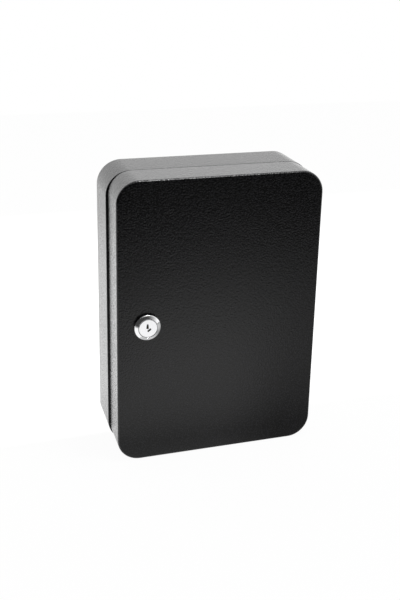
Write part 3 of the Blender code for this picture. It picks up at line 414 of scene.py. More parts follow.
def finish_piece(name, mesh, material, body, nodes):
    """Makes a piece from a mesh: its material, slot, body, and the CAD nodes that it stands for."""
    mesh.materials.clear()
    mesh.materials.append(material)
    piece = bpy.data.objects.new(name, mesh)
    bpy.context.scene.collection.objects.link(piece)
    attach(piece, body)
    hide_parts(*nodes)
    return piece


def mesh_from(bm, name):
    """Turns a bmesh into a mesh whose faces point outward."""
    bmesh.ops.recalc_face_normals(bm, faces=bm.faces)
    mesh = bpy.data.meshes.new(name)
    bm.to_mesh(mesh)
    bm.free()
    return mesh


def rounded(mesh, width=EDGE_ROUNDING, segments=2):
    """Rounds a mesh's sharp edges and shades it smooth, with flat faces kept flat."""
    holder = bpy.data.objects.new("holder", mesh)
    bpy.context.scene.collection.objects.link(holder)
    if width > 0:
        bevel = holder.modifiers.new("edges", "BEVEL")
        bevel.width = width
        bevel.segments = segments
        bevel.limit_method = "ANGLE"
        bevel.angle_limit = SHARP_ANGLE
        bevel.use_clamp_overlap = True
    mesh.shade_smooth()
    mesh.set_sharp_from_angle(angle=SHARP_ANGLE)
    weights = holder.modifiers.new("normals", "WEIGHTED_NORMAL")
    weights.keep_sharp = True
    graph = bpy.context.evaluated_depsgraph_get()
    graph.update()
    made = bpy.data.meshes.new_from_object(holder.evaluated_get(graph), depsgraph=graph)
    bpy.data.objects.remove(holder, do_unlink=True)
    return made


def combined(mesh, bm, operation):
    """One exact Boolean of a mesh and a bmesh."""
    target = bpy.data.objects.new("target", mesh)
    tool = bpy.data.objects.new("tool", mesh_from(bm, "tool"))
    for item in (target, tool):
        bpy.context.scene.collection.objects.link(item)
    modifier = target.modifiers.new("shape", "BOOLEAN")
    modifier.operation = operation
    modifier.solver = "EXACT"
    modifier.object = tool
    graph = bpy.context.evaluated_depsgraph_get()
    graph.update()
    made = bpy.data.meshes.new_from_object(target.evaluated_get(graph))
    for item in (target, tool):
        bpy.data.objects.remove(item, do_unlink=True)
    return made


def cut(mesh, bm):
    """A mesh with a bmesh cut away from it."""
    return combined(mesh, bm, "DIFFERENCE")


def bridge_rings(bm, rings, closed=False):
    """Joins rings of equal count into a skin, capped at both ends unless it closes on itself."""
    loops = [[bm.verts.new(point) for point in ring] for ring in rings]
    count = len(loops[0])
    followers = loops[1:] + (loops[:1] if closed else [])
    for near, far in zip(loops, followers):
        for i in range(count):
            j = (i + 1) % count
            bm.faces.new((near[i], near[j], far[j], far[i]))
    if not closed:
        bm.faces.new(loops[0])
        bm.faces.new(reversed(loops[-1]))


def arc_points(centre, radius, start, end, steps):
    """Points on an arc, both ends included."""
    angles = [start + (end - start) * i / steps for i in range(steps + 1)]
    return [(centre[0] + radius * math.cos(a), centre[1] + radius * math.sin(a)) for a in angles]


def rounded_ring(width, height, radius, y):
    """A rounded rectangle in an XZ plane, centred on x = 0 and the mid height."""
    points = []
    for turn, (side, level) in enumerate(((1, 1), (-1, 1), (-1, -1), (1, -1))):
        centre = (side * (width / 2 - radius), MID_Z + level * (height / 2 - radius))
        start = turn * math.pi / 2
        points += arc_points(centre, radius, start, start + math.pi / 2, CORNER_STEPS)
    return [(x, y, z) for x, z in points]


def shell_mesh(low, high, radius, profile, name):
    """A drawn shell between two corners. profile: (inset from the outer wall, y)."""
    width = high.x - low.x
    height = high.z - low.z
    bm = bmesh.new()
    rings = [rounded_ring(width - 2 * inset, height - 2 * inset, radius - inset, y) for inset, y in profile]
    bridge_rings(bm, rings)
    return mesh_from(bm, name)


def circle_ring(centre, radius, y, steps):
    """A circle in an XZ plane, about an axis along Y."""
    angles = [2 * math.pi * i / steps for i in range(steps)]
    return [(centre[0] + radius * math.cos(a), y, centre[1] + radius * math.sin(a)) for a in angles]


def add_turned(bm, profile, centre, steps):
    """Adds a body turned about an axis along Y. profile: (radius, y)."""
    bridge_rings(bm, [circle_ring(centre, radius, y, steps) for radius, y in profile])


def add_drum(bm, radius, start_y, end_y, centre, steps):
    """Adds a round bar about an axis along Y."""
    add_turned(bm, ((radius, start_y), (radius, end_y)), centre, steps)


def turned(profile, centre, steps=ROUND_STEPS):
    """A body turned about an axis along Y."""
    bm = bmesh.new()
    add_turned(bm, profile, centre, steps)
    return bm


def add_box(bm, low, high):
    """Adds a block between two corners."""
    corners = [
        bm.verts.new((x, y, z))
        for x in (low[0], high[0])
        for y in (low[1], high[1])
        for z in (low[2], high[2])
    ]
    for face in ((0, 1, 3, 2), (4, 6, 7, 5), (0, 4, 5, 1), (2, 3, 7, 6), (0, 2, 6, 4), (1, 5, 7, 3)):
        bm.faces.new([corners[i] for i in face])


def box(low, high):
    """A block between two corners."""
    bm = bmesh.new()
    add_box(bm, low, high)
    return bm


def add_prism(bm, outline, axis, low, high):
    """Extrudes a closed outline along one axis."""
    places = {
        "X": lambda a, b, t: (t, a, b),
        "Y": lambda a, b, t: (a, t, b),
        "Z": lambda a, b, t: (a, b, t),
    }
    bridge_rings(bm, [[places[axis](a, b, t) for a, b in outline] for t in (low, high)])


def prism(outline, axis, low, high):
    """A closed outline extruded along one axis."""
    bm = bmesh.new()
    add_prism(bm, outline, axis, low, high)
    return bm


def screw_places(prefix):
    """Places (x, z) of the rail screws in one shell, from their CAD nodes."""
    places = []
    for name in sorted(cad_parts):
        if name.startswith(f"{prefix}_rail_screw"):
            low, high = node_box(name)
            places.append(((low.x + high.x) / 2, (low.z + high.z) / 2))
    return places


def with_bosses(mesh, prefix, wall_y, inward):
    """Adds the welded rail bosses with their blind holes."""
    bosses = bmesh.new()
    holes = bmesh.new()
    rise = wall_y + inward * BOSS_HEIGHT
    for place in screw_places(prefix):
        add_drum(bosses, BOSS_RADIUS, wall_y - inward * SHEET / 2, rise, place, BOSS_STEPS)
        floor = rise - inward * BOSS_HOLE_DEPTH
        add_drum(holes, BOSS_HOLE_RADIUS, floor, rise + inward * CUT_OVERRUN, place, BOSS_STEPS)
    return cut(combined(mesh, bosses, "UNION"), holes)


def hinge_notch_ends():
    """Low and high z of the room for the hinge in both shells."""
    return HINGE_LOW.z - SWEEP_GAP, HINGE_HIGH.z + SWEEP_GAP


def casing_profile():
    """The casing's section, from the middle of its back out, round the rim and back in."""
    fillet = CASING_REAR_FILLET
    bend = FLANGE_BEND_RADIUS
    front = CASING_LOW.y
    fillet_y = CASING_HIGH.y - fillet
    inner_bend = bend / 2
    outer = arc_points((fillet, fillet_y), fillet, math.pi / 2, math.pi, FILLET_STEPS)
    rim = arc_points((bend, front + bend), bend, math.pi, 1.5 * math.pi, FILLET_STEPS)
    flange = [(FLANGE_WIDTH, front), (FLANGE_WIDTH, front + SHEET)]
    corner = (SHEET + inner_bend, front + SHEET + inner_bend)
    inside = arc_points(corner, inner_bend, 1.5 * math.pi, math.pi, FILLET_STEPS // 2)
    inner = arc_points((fillet, fillet_y), fillet - SHEET, math.pi, math.pi / 2, FILLET_STEPS)
    return outer + rim + flange + inside + inner


def make_casing(paint):
    """The drawn rear casing: return flange, hinge notch, wall holes and rail bosses."""
    mesh = shell_mesh(CASING_LOW, CASING_HIGH, CASING_CORNER_RADIUS, casing_profile(), "casing")
    holes = bmesh.new()
    low_y = CASING_HIGH.y - SHEET - CUT_OVERRUN
    high_y = CASING_HIGH.y + CUT_OVERRUN
    for x in (CASING_LOW.x + WALL_HOLE_SIDE_ROOM, CASING_HIGH.x - WALL_HOLE_SIDE_ROOM):
        for z in (CASING_LOW.z + WALL_HOLE_END_ROOM, CASING_HIGH.z - WALL_HOLE_END_ROOM):
            add_drum(holes, WALL_HOLE_RADIUS, low_y, high_y, (x, z), HOLE_STEPS)
    mesh = cut(mesh, holes)
    low_z, high_z = hinge_notch_ends()
    notch_low = (CASING_HIGH.x - FLANGE_WIDTH - CUT_OVERRUN, CASING_LOW.y - CUT_OVERRUN, low_z)
    notch_high = (HINGE_X + CUT_OVERRUN, HINGE_Y + HINGE_KNUCKLE_RADIUS + SWEEP_GAP, high_z)
    mesh = cut(mesh, box(notch_low, notch_high))
    mesh = with_bosses(mesh, "casing", CASING_HIGH.y - SHEET, -1)
    return finish_piece("casing_skin", rounded(mesh), paint, "casing", ["rear_casing"])


def door_profile():
    """The door's section, from the middle of its front out, round the rim and back in."""
    fillet = DOOR_FRONT_FILLET
    rear = DOOR_HIGH.y + DOOR_RIM_REACH
    fillet_y = DOOR_LOW.y + fillet
    outer = arc_points((fillet, fillet_y), fillet, 1.5 * math.pi, math.pi, FILLET_STEPS)
    rim = [(0.0, rear), (SHEET, rear)]
    inner = arc_points((fillet, fillet_y), fillet - SHEET, math.pi, 1.5 * math.pi, FILLET_STEPS)
    return outer + rim + inner


def make_door(paint):
    """The drawn door: hinge notch, lock hole and rail bosses."""
    reach = Vector((0.0, 0.0, DOOR_RIM_REACH))
    mesh = shell_mesh(DOOR_LOW - reach, DOOR_HIGH + reach, DOOR_CORNER_RADIUS, door_profile(), "door")
    hole = bmesh.new()
    flats = HOUSING_FLATS / 2 + PIECE_GAP
    around = lock_circle(HOUSING_RADIUS + PIECE_GAP)
    outline = [(LOCK_X + max(-flats, min(flats, x - LOCK_X)), z) for x, z in around]
    add_prism(hole, outline, "Y", DOOR_LOW.y - CUT_OVERRUN, DOOR_LOW.y + SHEET + CUT_OVERRUN)
    mesh = cut(mesh, hole)
    low_z, high_z = hinge_notch_ends()
    notch_low = (DOOR_HIGH.x - SHEET - CUT_OVERRUN, HINGE_Y - HINGE_KNUCKLE_RADIUS - SWEEP_GAP, low_z)
    notch_high = (HINGE_X + CUT_OVERRUN, DOOR_HIGH.y + CUT_OVERRUN, high_z)
    mesh = cut(mesh, box(notch_low, notch_high))
    mesh = with_bosses(mesh, "door", DOOR_LOW.y + SHEET, 1)
    return finish_piece("door_skin", rounded(mesh), paint, "door", ["door_shell"])


def eased(points, width, steps=EASING_STEPS, closed=True):
    """Rounds each corner of a closed outline or an open profile by a short curve."""
    made = []
    count = len(points)
    for i, corner in enumerate(points):
        if not closed and i in (0, count - 1):
            made.append(tuple(corner))
            continue
        here = Vector(corner)
        before = Vector(points[i - 1]) - here
        after = Vector(points[(i + 1) % count]) - here
        reach = min(width, before.length * EASING_SHARE, after.length * EASING_SHARE)
        start = here + before.normalized() * reach
        end = here + after.normalized() * reach
        for step in range(steps + 1):
            t = step / steps
            place = start * (1 - t) ** 2 + here * 2 * t * (1 - t) + end * t**2
            made.append(tuple(place))
    return made


def smooth(mesh):
    """Shades a mesh smooth with its flat faces kept flat."""
    return rounded(mesh, 0.0)


def lock_circle(radius, steps=ROUND_STEPS):
    """A circle about the lock's axis, as (x, z) points."""
    return arc_points(LOCK_AXIS, radius, 0.0, 2 * math.pi, steps)[:-1]


def flatted(points):
    """Cuts a flat on the left and right of the lock's threaded body."""
    half = HOUSING_FLATS / 2
    return [(LOCK_X + max(-half, min(half, x - LOCK_X)), y, z) for x, y, z in points]


def wafer_span():
    """Lowest and highest y of all the wafers."""
    return node_box("lock_wafer_1")[0].y, node_box(f"lock_wafer_{WAFER_COUNT}")[1].y


def wafer_half_width():
    """Half of a wafer's width."""
    return LOCK_X - node_box("lock_wafer_1")[0].x


def bezel_profile():
    """The bezel's section: a short wall, a cone, its crest, and the recess for the plug's head."""
    radius = (LOCK_HIGH.x - LOCK_LOW.x) / 2
    front = LOCK_LOW.y
    recess_radius = PLUG_HEAD_RADIUS + PIECE_GAP
    corners = [
        (radius, DOOR_FRONT_Y - PIECE_GAP),
        (radius, DOOR_FRONT_Y - BEZEL_WALL_HEIGHT),
        (radius - BEZEL_SLOPE_WIDTH, front),
        (recess_radius, front + BEZEL_CREST_DROP),
        (recess_radius, front + BEZEL_RECESS_DEPTH),
        (PLUG_RADIUS + PIECE_GAP, front + BEZEL_RECESS_DEPTH),
    ]
    return eased(corners, BEZEL_EDGE_ROUNDING, PROFILE_STEPS, closed=False)


def thread_profile(radius, low_y, high_y, pitch, depth):
    """A ribbed wall, from its rear end to its front end, as (radius, y)."""
    count = int((high_y - low_y) / pitch)
    profile = [(radius - depth, high_y)]
    for i in range(count):
        top = high_y - i * pitch
        profile += [(radius, top - pitch / 3), (radius, top - pitch / 2), (radius - depth, top - pitch)]
    profile.append((radius - depth, low_y))
    return profile


def make_lock_body(plating):
    """The lock's housing: conical bezel, threaded body with flats, bore, and rear stop lug."""
    rear = LOCK_HIGH.y - STOP_LUG_LENGTH
    bore = PLUG_RADIUS + PIECE_GAP
    thread = thread_profile(HOUSING_RADIUS, DOOR_FRONT_Y - PIECE_GAP, rear, THREAD_PITCH, THREAD_DEPTH)
    bezel = [circle_ring(LOCK_AXIS, radius, y, ROUND_STEPS) for radius, y in bezel_profile() + [(bore, rear)]]
    body = [flatted(circle_ring(LOCK_AXIS, radius, y, ROUND_STEPS)) for radius, y in thread]
    bm = bmesh.new()
    bridge_rings(bm, bezel + body, closed=True)
    mesh = mesh_from(bm, "lock_body")
    lug = lug_outline(bore + SWEEP_GAP, STOP_PLATE_RADIUS)
    mesh = combined(mesh, prism(lug, "Y", rear - CUT_OVERRUN, LOCK_HIGH.y), "UNION")
    half = wafer_half_width() + PIECE_GAP
    reach = PLUG_RADIUS + WAFER_TRAVEL + PIECE_GAP
    low_y, high_y = wafer_span()
    for x, z in ((half, reach), (reach, half)):
        mesh = cut(mesh, lock_box(x, low_y - SWEEP_GAP, high_y + SWEEP_GAP, z))
    return finish_piece("lock_body", smooth(mesh), plating, "door", ["lock_housing"])


def lug_outline(inner, outer):
    """The stop lug: a ring sector about the lock's axis, as (x, z) points."""
    low = STOP_LUG_ANGLE - STOP_LUG_HALF_ANGLE
    high = STOP_LUG_ANGLE + STOP_LUG_HALF_ANGLE
    points = arc_points(LOCK_AXIS, outer, low, high, LUG_STEPS)
    return points + arc_points(LOCK_AXIS, inner, high, low, LUG_STEPS)


def keyway_outlines():
    """The keyway's two parts: an upright slot, and a slanted one under the ward at its foot."""
    top = KEYWAY_TOP_WIDTH / 2
    foot = KEYWAY_WIDTH / 2
    upright = [(top, KEYWAY_TOP_Z), (-top, KEYWAY_TOP_Z), (-foot, KEYWAY_FOOT_Z), (foot, KEYWAY_FOOT_Z)]
    upright = [(KEYWAY_X + x, z) for x, z in upright]
    along = Vector((math.cos(KEYWAY_SLANT), math.sin(KEYWAY_SLANT)))
    across = Vector((-along.y, along.x)) * KEYWAY_SLOT_WIDTH / 2
    low = Vector(KEYWAY_SLOT_START)
    high = low + along * KEYWAY_SLOT_LENGTH
    slanted = [high + across, low + across, low - across, high - across]
    outlines = [eased(upright, KEYWAY_CORNER), eased(slanted, KEYWAY_CORNER)]
    return [[(LOCK_X + x, LOCK_Z + z) for x, z in outline] for outline in outlines]


def wafer_rooms():
    """The plug's cuts: a slot right through for each wafer, and a side pocket for its spring."""
    slots = bmesh.new()
    pockets = bmesh.new()
    half = wafer_half_width() + PIECE_GAP
    reach = PLUG_RADIUS + CUT_OVERRUN
    for i in range(WAFER_COUNT):
        low, high = node_box(f"lock_wafer_{i + 1}")
        spring_low, spring_high = node_box(f"wafer_spring_{i + 1}")
        low_y = low.y - PIECE_GAP
        high_y = high.y + PIECE_GAP
        add_box(slots, (LOCK_X - half, low_y, LOCK_Z - reach), (LOCK_X + half, high_y, LOCK_Z + reach))
        pocket_low = spring_low.z - LUG_ROOM
        add_box(pockets, (LOCK_X, low_y, pocket_low), (high.x + PIECE_GAP, high_y, spring_high.z + PIECE_GAP))
    return slots, pockets


def make_lock_core(plating):
    """The plug: face with its keyway, barrel with wafer slots and spring pockets, square shank."""
    head_rear = LOCK_LOW.y + BEZEL_RECESS_DEPTH - PIECE_GAP
    rear = LOCK_HIGH.y - STOP_LUG_LENGTH + PIECE_GAP
    corners = [
        (PLUG_HEAD_RADIUS / 2, PLUG_LOW.y),
        (PLUG_HEAD_RADIUS, PLUG_LOW.y),
        (PLUG_HEAD_RADIUS, head_rear),
        (PLUG_RADIUS, head_rear),
        (PLUG_RADIUS, rear),
        (PLUG_RADIUS / 2, rear),
    ]
    profile = eased(corners, PLUG_EDGE_ROUNDING, PROFILE_STEPS, closed=False)
    mesh = mesh_from(turned(profile, LOCK_AXIS), "lock_core")
    half = SHANK_WIDTH / 2
    mesh = combined(mesh, lock_box(half, rear - CUT_OVERRUN, PLUG_HIGH.y, half), "UNION")
    for room in wafer_rooms():
        mesh = cut(mesh, room)
    for outline in keyway_outlines():
        keyway = prism(outline, "Y", PLUG_LOW.y - CUT_OVERRUN, PLUG_LOW.y + KEYWAY_DEPTH)
        mesh = cut(mesh, keyway)
    screw_low = node_box("cam_screw")[0]
    around = lock_circle(CAM_SCREW_RADIUS + PIECE_GAP)
    mesh = cut(mesh, prism(around, "Y", screw_low.y - PIECE_GAP, PLUG_HIGH.y + CUT_OVERRUN))
    mesh = rounded(mesh, FINE_ROUNDING)
    return finish_piece("lock_core", mesh, plating, "lock_core", ["lock_plug"])


def make_toothed_washer(plating):
    """The toothed washer, with each tooth twisted a little."""
    low, high = node_box("lock_toothed_washer")
    crest = (high.x - low.x) / 2
    valley = crest - TOOTH_HEIGHT
    twist = (high.y - low.y) * WASHER_TWIST_SHARE
    tooth = ((valley, 0.0), (crest, twist), (crest, -twist), (valley, 0.0))
    count = WASHER_TEETH * len(tooth)
    outer = [tooth[i % len(tooth)] for i in range(count)]
    angles = [2 * math.pi * i / count for i in range(count)]
    inner = HOUSING_RADIUS + PIECE_GAP

    def ring(y, sizes):
        """A ring at one y. sizes: (radius, shift along Y)."""
        return [
            (LOCK_X + radius * math.cos(a), y + shift, LOCK_Z + radius * math.sin(a))
            for a, (radius, shift) in zip(angles, sizes)
        ]

    plain = [(inner, 0.0)] * count
    rings = [ring(low.y + twist, outer), ring(high.y - twist, outer), ring(high.y - twist, plain)]
    rings.append(ring(low.y + twist, plain))
    bm = bmesh.new()
    bridge_rings(bm, rings, closed=True)
    mesh = rounded(mesh_from(bm, "toothed_washer"), FINE_ROUNDING)
    return finish_piece("toothed_washer", mesh, plating, "door", ["lock_toothed_washer"])


def make_nut(plating):
    """The hexagon nut, its corners turned off at both ends."""
    low, high = node_box("lock_nut")
    corner = (high.x - low.x) / 2
    inner = HOUSING_RADIUS + PIECE_GAP
    mesh = mesh_from(prism(lock_circle(corner, NUT_SIDES), "Y", low.y, high.y), "nut")
    chamfer = corner - (high.z - low.z) / 2
    drum = ((corner - chamfer, low.y), (corner, low.y + chamfer / 2))
    drum += ((corner, high.y - chamfer / 2), (corner - chamfer, high.y))
    mesh = combined(mesh, turned(drum, LOCK_AXIS), "INTERSECT")
    bore = (
        (inner + NUT_MOUTH, low.y - CUT_OVERRUN),
        (inner + NUT_MOUTH, low.y),
        (inner, low.y + NUT_MOUTH),
        (inner, high.y - NUT_MOUTH),
        (inner + NUT_MOUTH, high.y),
        (inner + NUT_MOUTH, high.y + CUT_OVERRUN),
    )
    mesh = cut(mesh, turned(bore, LOCK_AXIS))
    return finish_piece("nut", rounded(mesh, FINE_ROUNDING), plating, "door", ["lock_nut"])


def lock_box(half_x, low_y, high_y, half_z):
    """A block about the lock's axis."""
    low = (LOCK_X - half_x, low_y, LOCK_Z - half_z)
    return box(low, (LOCK_X + half_x, high_y, LOCK_Z + half_z))


def square_hole(low_y, high_y):
    """The hole that fits the plug's square shank."""
    half = SHANK_WIDTH / 2 + PIECE_GAP
    return lock_box(half, low_y - CUT_OVERRUN, high_y + CUT_OVERRUN, half)


def make_stop_plate(plating):
    """The stop plate, whose waist leaves the lug a quarter turn."""
    low, high = node_box("lock_stop_plate")
    room = STOP_LUG_HALF_ANGLE + STOP_FREE_ANGLE
    start = STOP_LUG_ANGLE - room + 2 * math.pi
    end = start + LOCK_TRAVEL + 2 * room
    wide = arc_points(LOCK_AXIS, STOP_PLATE_RADIUS, end - 2 * math.pi, start, ROUND_STEPS // 2)
    waist = arc_points(LOCK_AXIS, PLUG_RADIUS + PIECE_GAP, start, end, ROUND_STEPS // 4)
    mesh = mesh_from(prism(wide + waist, "Y", low.y, high.y), "stop_plate")
    mesh = cut(mesh, square_hole(low.y, high.y))
    mesh = rounded(mesh, FINE_ROUNDING)
    return finish_piece("stop_plate", mesh, plating, "lock_core", ["lock_stop_plate"])


def make_cam(plating):
    """The bent cam, with rounded bends and corners."""
    low, high = node_box("lock_cam")
    hub_rear = low.y + CAM_SHEET
    tip_front = high.y - CAM_SHEET
    crank_out = LOCK_Z - CAM_CRANK_REACH
    crank_in = crank_out + CAM_SHEET
    outline = [
        (low.y, high.z),
        (low.y, crank_out),
        (tip_front, crank_out),
        (tip_front, low.z),
        (high.y, low.z),
        (high.y, crank_in),
        (hub_rear, crank_in),
        (hub_rear, high.z),
    ]
    bends = eased(outline, CAM_BEND, CAM_BEND_STEPS)
    mesh = mesh_from(prism(bends, "X", low.x, high.x), "cam")
    plate = [(high.x, high.z), (low.x, high.z), (low.x, low.z), (high.x, low.z)]
    corners = eased(plate, CAM_CORNER_RADIUS, CAM_CORNER_STEPS)
    blank = prism(corners, "Y", low.y - CUT_OVERRUN, high.y + CUT_OVERRUN)
    mesh = combined(mesh, blank, "INTERSECT")
    mesh = cut(mesh, square_hole(low.y, hub_rear))
    return finish_piece("cam", rounded(mesh, FINE_ROUNDING), plating, "lock_core", ["lock_cam"])


def make_cam_washer(metal_finish):
    """The split spring washer, its two ends a little apart along the axis."""
    low, high = node_box("cam_spring_washer")
    outer = (high.x - low.x) / 2
    inner = CAM_SCREW_RADIUS + PIECE_GAP
    pitch = (high.y - low.y) * WASHER_TWIST_SHARE
    sheet = (high.y - low.y) - pitch
    split = CAM_WASHER_SPLIT / 2 / outer
    corners = [(outer, 0.0), (outer, sheet), (inner, sheet), (inner, 0.0)]
    section = eased(corners, FINE_ROUNDING, FINE_STEPS)
    rings = []
    for i in range(ROUND_STEPS + 1):
        angle = math.pi / 2 + split + (2 * math.pi - 2 * split) * i / ROUND_STEPS
        base = low.y + pitch * i / ROUND_STEPS
        across = math.cos(angle)
        up = math.sin(angle)
        rings.append([(LOCK_X + r * across, base + y, LOCK_Z + r * up) for r, y in section])
    bm = bmesh.new()
    bridge_rings(bm, rings)
    mesh = smooth(mesh_from(bm, "spring_washer"))
    nodes = ["cam_spring_washer"]
    return finish_piece("spring_washer", mesh, metal_finish, "lock_core", nodes)


def make_cam_screw(plating):
    """The slotted cheese-head screw that holds the cam."""
    low, high = node_box("cam_screw")
    head = (high.x - low.x) / 2
    underside = high.y - CAM_SCREW_HEAD_HEIGHT
    corners = [
        (CAM_SCREW_RADIUS / 2, low.y),
        (CAM_SCREW_RADIUS, low.y + CAM_SCREW_RADIUS / 2),
        (CAM_SCREW_RADIUS, underside),
        (head, underside),
        (head, high.y - CAM_SCREW_CROWN),
        (head / 2, high.y),
    ]
    profile = eased(corners, CAM_SCREW_CROWN, PROFILE_STEPS, closed=False)
    mesh = mesh_from(turned(profile, LOCK_AXIS), "cam_screw_piece")
    slot = lock_box(head + CUT_OVERRUN, high.y - SLOT_DEPTH, high.y + CUT_OVERRUN, SLOT_WIDTH / 2)
    mesh = cut(mesh, slot)
    mesh = rounded(mesh, FINE_ROUNDING)
    return finish_piece("cam_fixing", mesh, plating, "lock_core", ["cam_screw"])


def hook_path():
    """A hook's middle line as (y, z): out from the plate's face, then up. The face is y = 0."""
    half = RAIL_SHEET / 2
    reach = HOOK_REACH - half
    floor_z = -HOOK_DROP
    tip_z = floor_z + HOOK_TIP_HEIGHT
    centre = (-(reach - HOOK_BEND_RADIUS), floor_z + HOOK_BEND_RADIUS)
    bend = arc_points(centre, HOOK_BEND_RADIUS, 1.5 * math.pi, math.pi, HOOK_BEND_STEPS)
    rise = tip_z - centre[1]
    angles = [math.pi / 2 * i / HOOK_TIP_STEPS for i in range(1, HOOK_TIP_STEPS + 1)]
    tip = [(-reach, centre[1] + rise * math.sin(a)) for a in angles]
    return [(half, floor_z)] + bend + tip


def add_hook(bm, x):
    """Adds one bent hook of flat wire, its edges eased and its tip rounded."""
    path = [Vector(point) for point in hook_path()]
    half_sheet = RAIL_SHEET / 2
    half_width = HOOK_WIDTH / 2
    tip_z = path[-1].y
    rings = []
    for i, place in enumerate(path):
        along = (path[min(i + 1, len(path) - 1)] - path[max(i - 1, 0)]).normalized()
        across = Vector((-along.y, along.x))
        left = min(1.0, (tip_z - place.y) / half_width)
        wide = half_width * math.sqrt(max(HOOK_TIP_SHARE, 1 - (1 - left) ** 2))
        corners = [(wide, half_sheet), (-wide, half_sheet), (-wide, -half_sheet), (wide, -half_sheet)]
        section = eased(corners, HOOK_EDGE, FINE_STEPS)
        rings.append([(x + a, place.x + across.x * b, place.y + across.y * b) for a, b in section])
    bridge_rings(bm, rings)


def rail_mesh():
    """One hook rail about its own middle: the plate's front face at y = 0, hooks towards -Y."""
    low, high = node_box("casing_key_rail_1")
    half_length = (high.x - low.x) / 2
    half_height = (high.z - low.z) / 2
    plate = [(half_length, half_height), (-half_length, half_height)]
    plate += [(-half_length, -half_height), (half_length, -half_height)]
    mesh = mesh_from(prism(eased(plate, RAIL_CORNER, PROFILE_STEPS), "Y", 0.0, RAIL_SHEET), "rail")
    hooks = bmesh.new()
    windows = bmesh.new()
    half = HOOK_WIDTH / 2 + HOOK_WINDOW_SIDE_GAP
    low_z = RAIL_SHEET / 2 - HOOK_DROP
    high_z = min(low_z + HOOK_WINDOW_HEIGHT, half_height - RAIL_SHEET)
    for i in range(HOOK_COUNT):
        x = (i - (HOOK_COUNT - 1) / 2) * HOOK_PITCH
        add_hook(hooks, x)
        window = [(x + half, high_z), (x - half, high_z), (x - half, low_z), (x + half, low_z)]
        add_prism(windows, eased(window, HOOK_EDGE * 2), "Y", -CUT_OVERRUN, RAIL_SHEET + CUT_OVERRUN)
    screw_x = max(x for x, z in screw_places("casing"))
    for x in (-screw_x, screw_x):
        add_drum(windows, SCREW_HOLE_RADIUS, -CUT_OVERRUN, RAIL_SHEET + CUT_OVERRUN, (x, 0.0), HOLE_STEPS)
    mesh = cut(mesh, windows)
    mesh = combined(mesh, hooks, "UNION")
    return rounded(mesh, FINE_ROUNDING)


def screw_mesh():
    """One pan-head screw along Y: the head's underside at y = 0, the shank towards +Y."""
    low, high = node_box("casing_rail_screw_1")
    radius = (high.x - low.x) / 2
    corners = [
        (SCREW_SHANK_RADIUS / 2, SCREW_LENGTH),
        (SCREW_SHANK_RADIUS, SCREW_LENGTH - SCREW_SHANK_RADIUS / 2),
        (SCREW_SHANK_RADIUS, 0.0),
        (radius, 0.0),
        (radius, -SCREW_HEAD_HEIGHT * SCREW_RIM_SHARE),
        (radius * SCREW_CROWN_SHARE, -SCREW_HEAD_HEIGHT),
        (radius * SCREW_TOP_SHARE, -SCREW_HEAD_HEIGHT),
    ]
    profile = eased(corners, SCREW_CROWN, PROFILE_STEPS, closed=False)
    mesh = mesh_from(turned(profile, (0.0, 0.0), HOLE_STEPS), "screw")
    half = SLOT_WIDTH / 2
    reach = CROSS_LENGTH / 2
    arms = [(half, half), (half, reach), (-half, reach), (-half, half), (-reach, half), (-reach, -half)]
    arms += [(-half, -half), (-half, -reach), (half, -reach), (half, -half), (reach, -half), (reach, half)]
    top = -SCREW_HEAD_HEIGHT - CUT_OVERRUN
    floor = CROSS_DEPTH - SCREW_HEAD_HEIGHT
    rings = [
        [(x, top, z) for x, z in arms],
        [(x, -SCREW_HEAD_HEIGHT, z) for x, z in arms],
        [(x * CROSS_TAPER, floor, z * CROSS_TAPER) for x, z in arms],
    ]
    cross = bmesh.new()
    bridge_rings(cross, rings)
    mesh = cut(mesh, cross)
    return rounded(mesh, SCREW_EASING)


def place_copies(mesh, kind, prefix, plating):
    """Places a copy of a mesh for each CAD node of one kind in one shell."""
    facing = 1 if prefix == "casing" else -1
    turn = Matrix.Rotation(0.0 if facing > 0 else math.pi, 4, "Z")
    for name in sorted(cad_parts):
        if not name.startswith(f"{prefix}_{kind}"):
            continue
        low, high = node_box(name)
        base = mesh_origin_y(kind, low.y, high.y, facing)
        copy = mesh.copy()
        copy.transform(Matrix.Translation(((low.x + high.x) / 2, base, (low.z + high.z) / 2)) @ turn)
        piece_name = name.replace("key_rail", "hook_rail").replace("rail_screw", "rail_fixing")
        finish_piece(piece_name, copy, plating, prefix, [name])


def mesh_origin_y(kind, low_y, high_y, facing):
    """Where a copied mesh's own y = 0 lies in a node's depth."""
    if kind == "key_rail":
        return high_y - RAIL_SHEET if facing > 0 else low_y + RAIL_SHEET
    return low_y + SCREW_HEAD_HEIGHT if facing > 0 else high_y - SCREW_HEAD_HEIGHT


def knuckle_spans(first):
    """Low and high z of every second knuckle, starting with the given one."""
    leaf_low, leaf_high = node_box("hinge_casing_leaf")
    length = (leaf_high.z - leaf_low.z) / HINGE_KNUCKLES
    spans = []
    for i in range(first, HINGE_KNUCKLES, 2):
        low = leaf_low.z + i * length + (PIECE_GAP / 2 if i > 0 else 0.0)
        high = leaf_low.z + (i + 1) * length - (PIECE_GAP / 2 if i < HINGE_KNUCKLES - 1 else 0.0)
        spans.append((low, high))
    return spans


def hinge_leaf(plate, barrel, first, name):
    """A hinge leaf: its plate, its rolled knuckles and the pin's bore."""
    low, high = node_box("hinge_casing_leaf")
    mesh = mesh_from(prism(plate, "Z", low.z, high.z), name)
    knuckles = bmesh.new()
    for low_z, high_z in knuckle_spans(first):
        add_prism(knuckles, barrel, "Z", low_z, high_z)
    mesh = combined(mesh, knuckles, "UNION")
    bore = arc_points(HINGE_AXIS, PIN_RADIUS + PIECE_GAP, 0.0, 2 * math.pi, HOLE_STEPS)[:-1]
    mesh = cut(mesh, prism(bore, "Z", low.z - CUT_OVERRUN, high.z + CUT_OVERRUN))
    return rounded(mesh, FINE_ROUNDING)


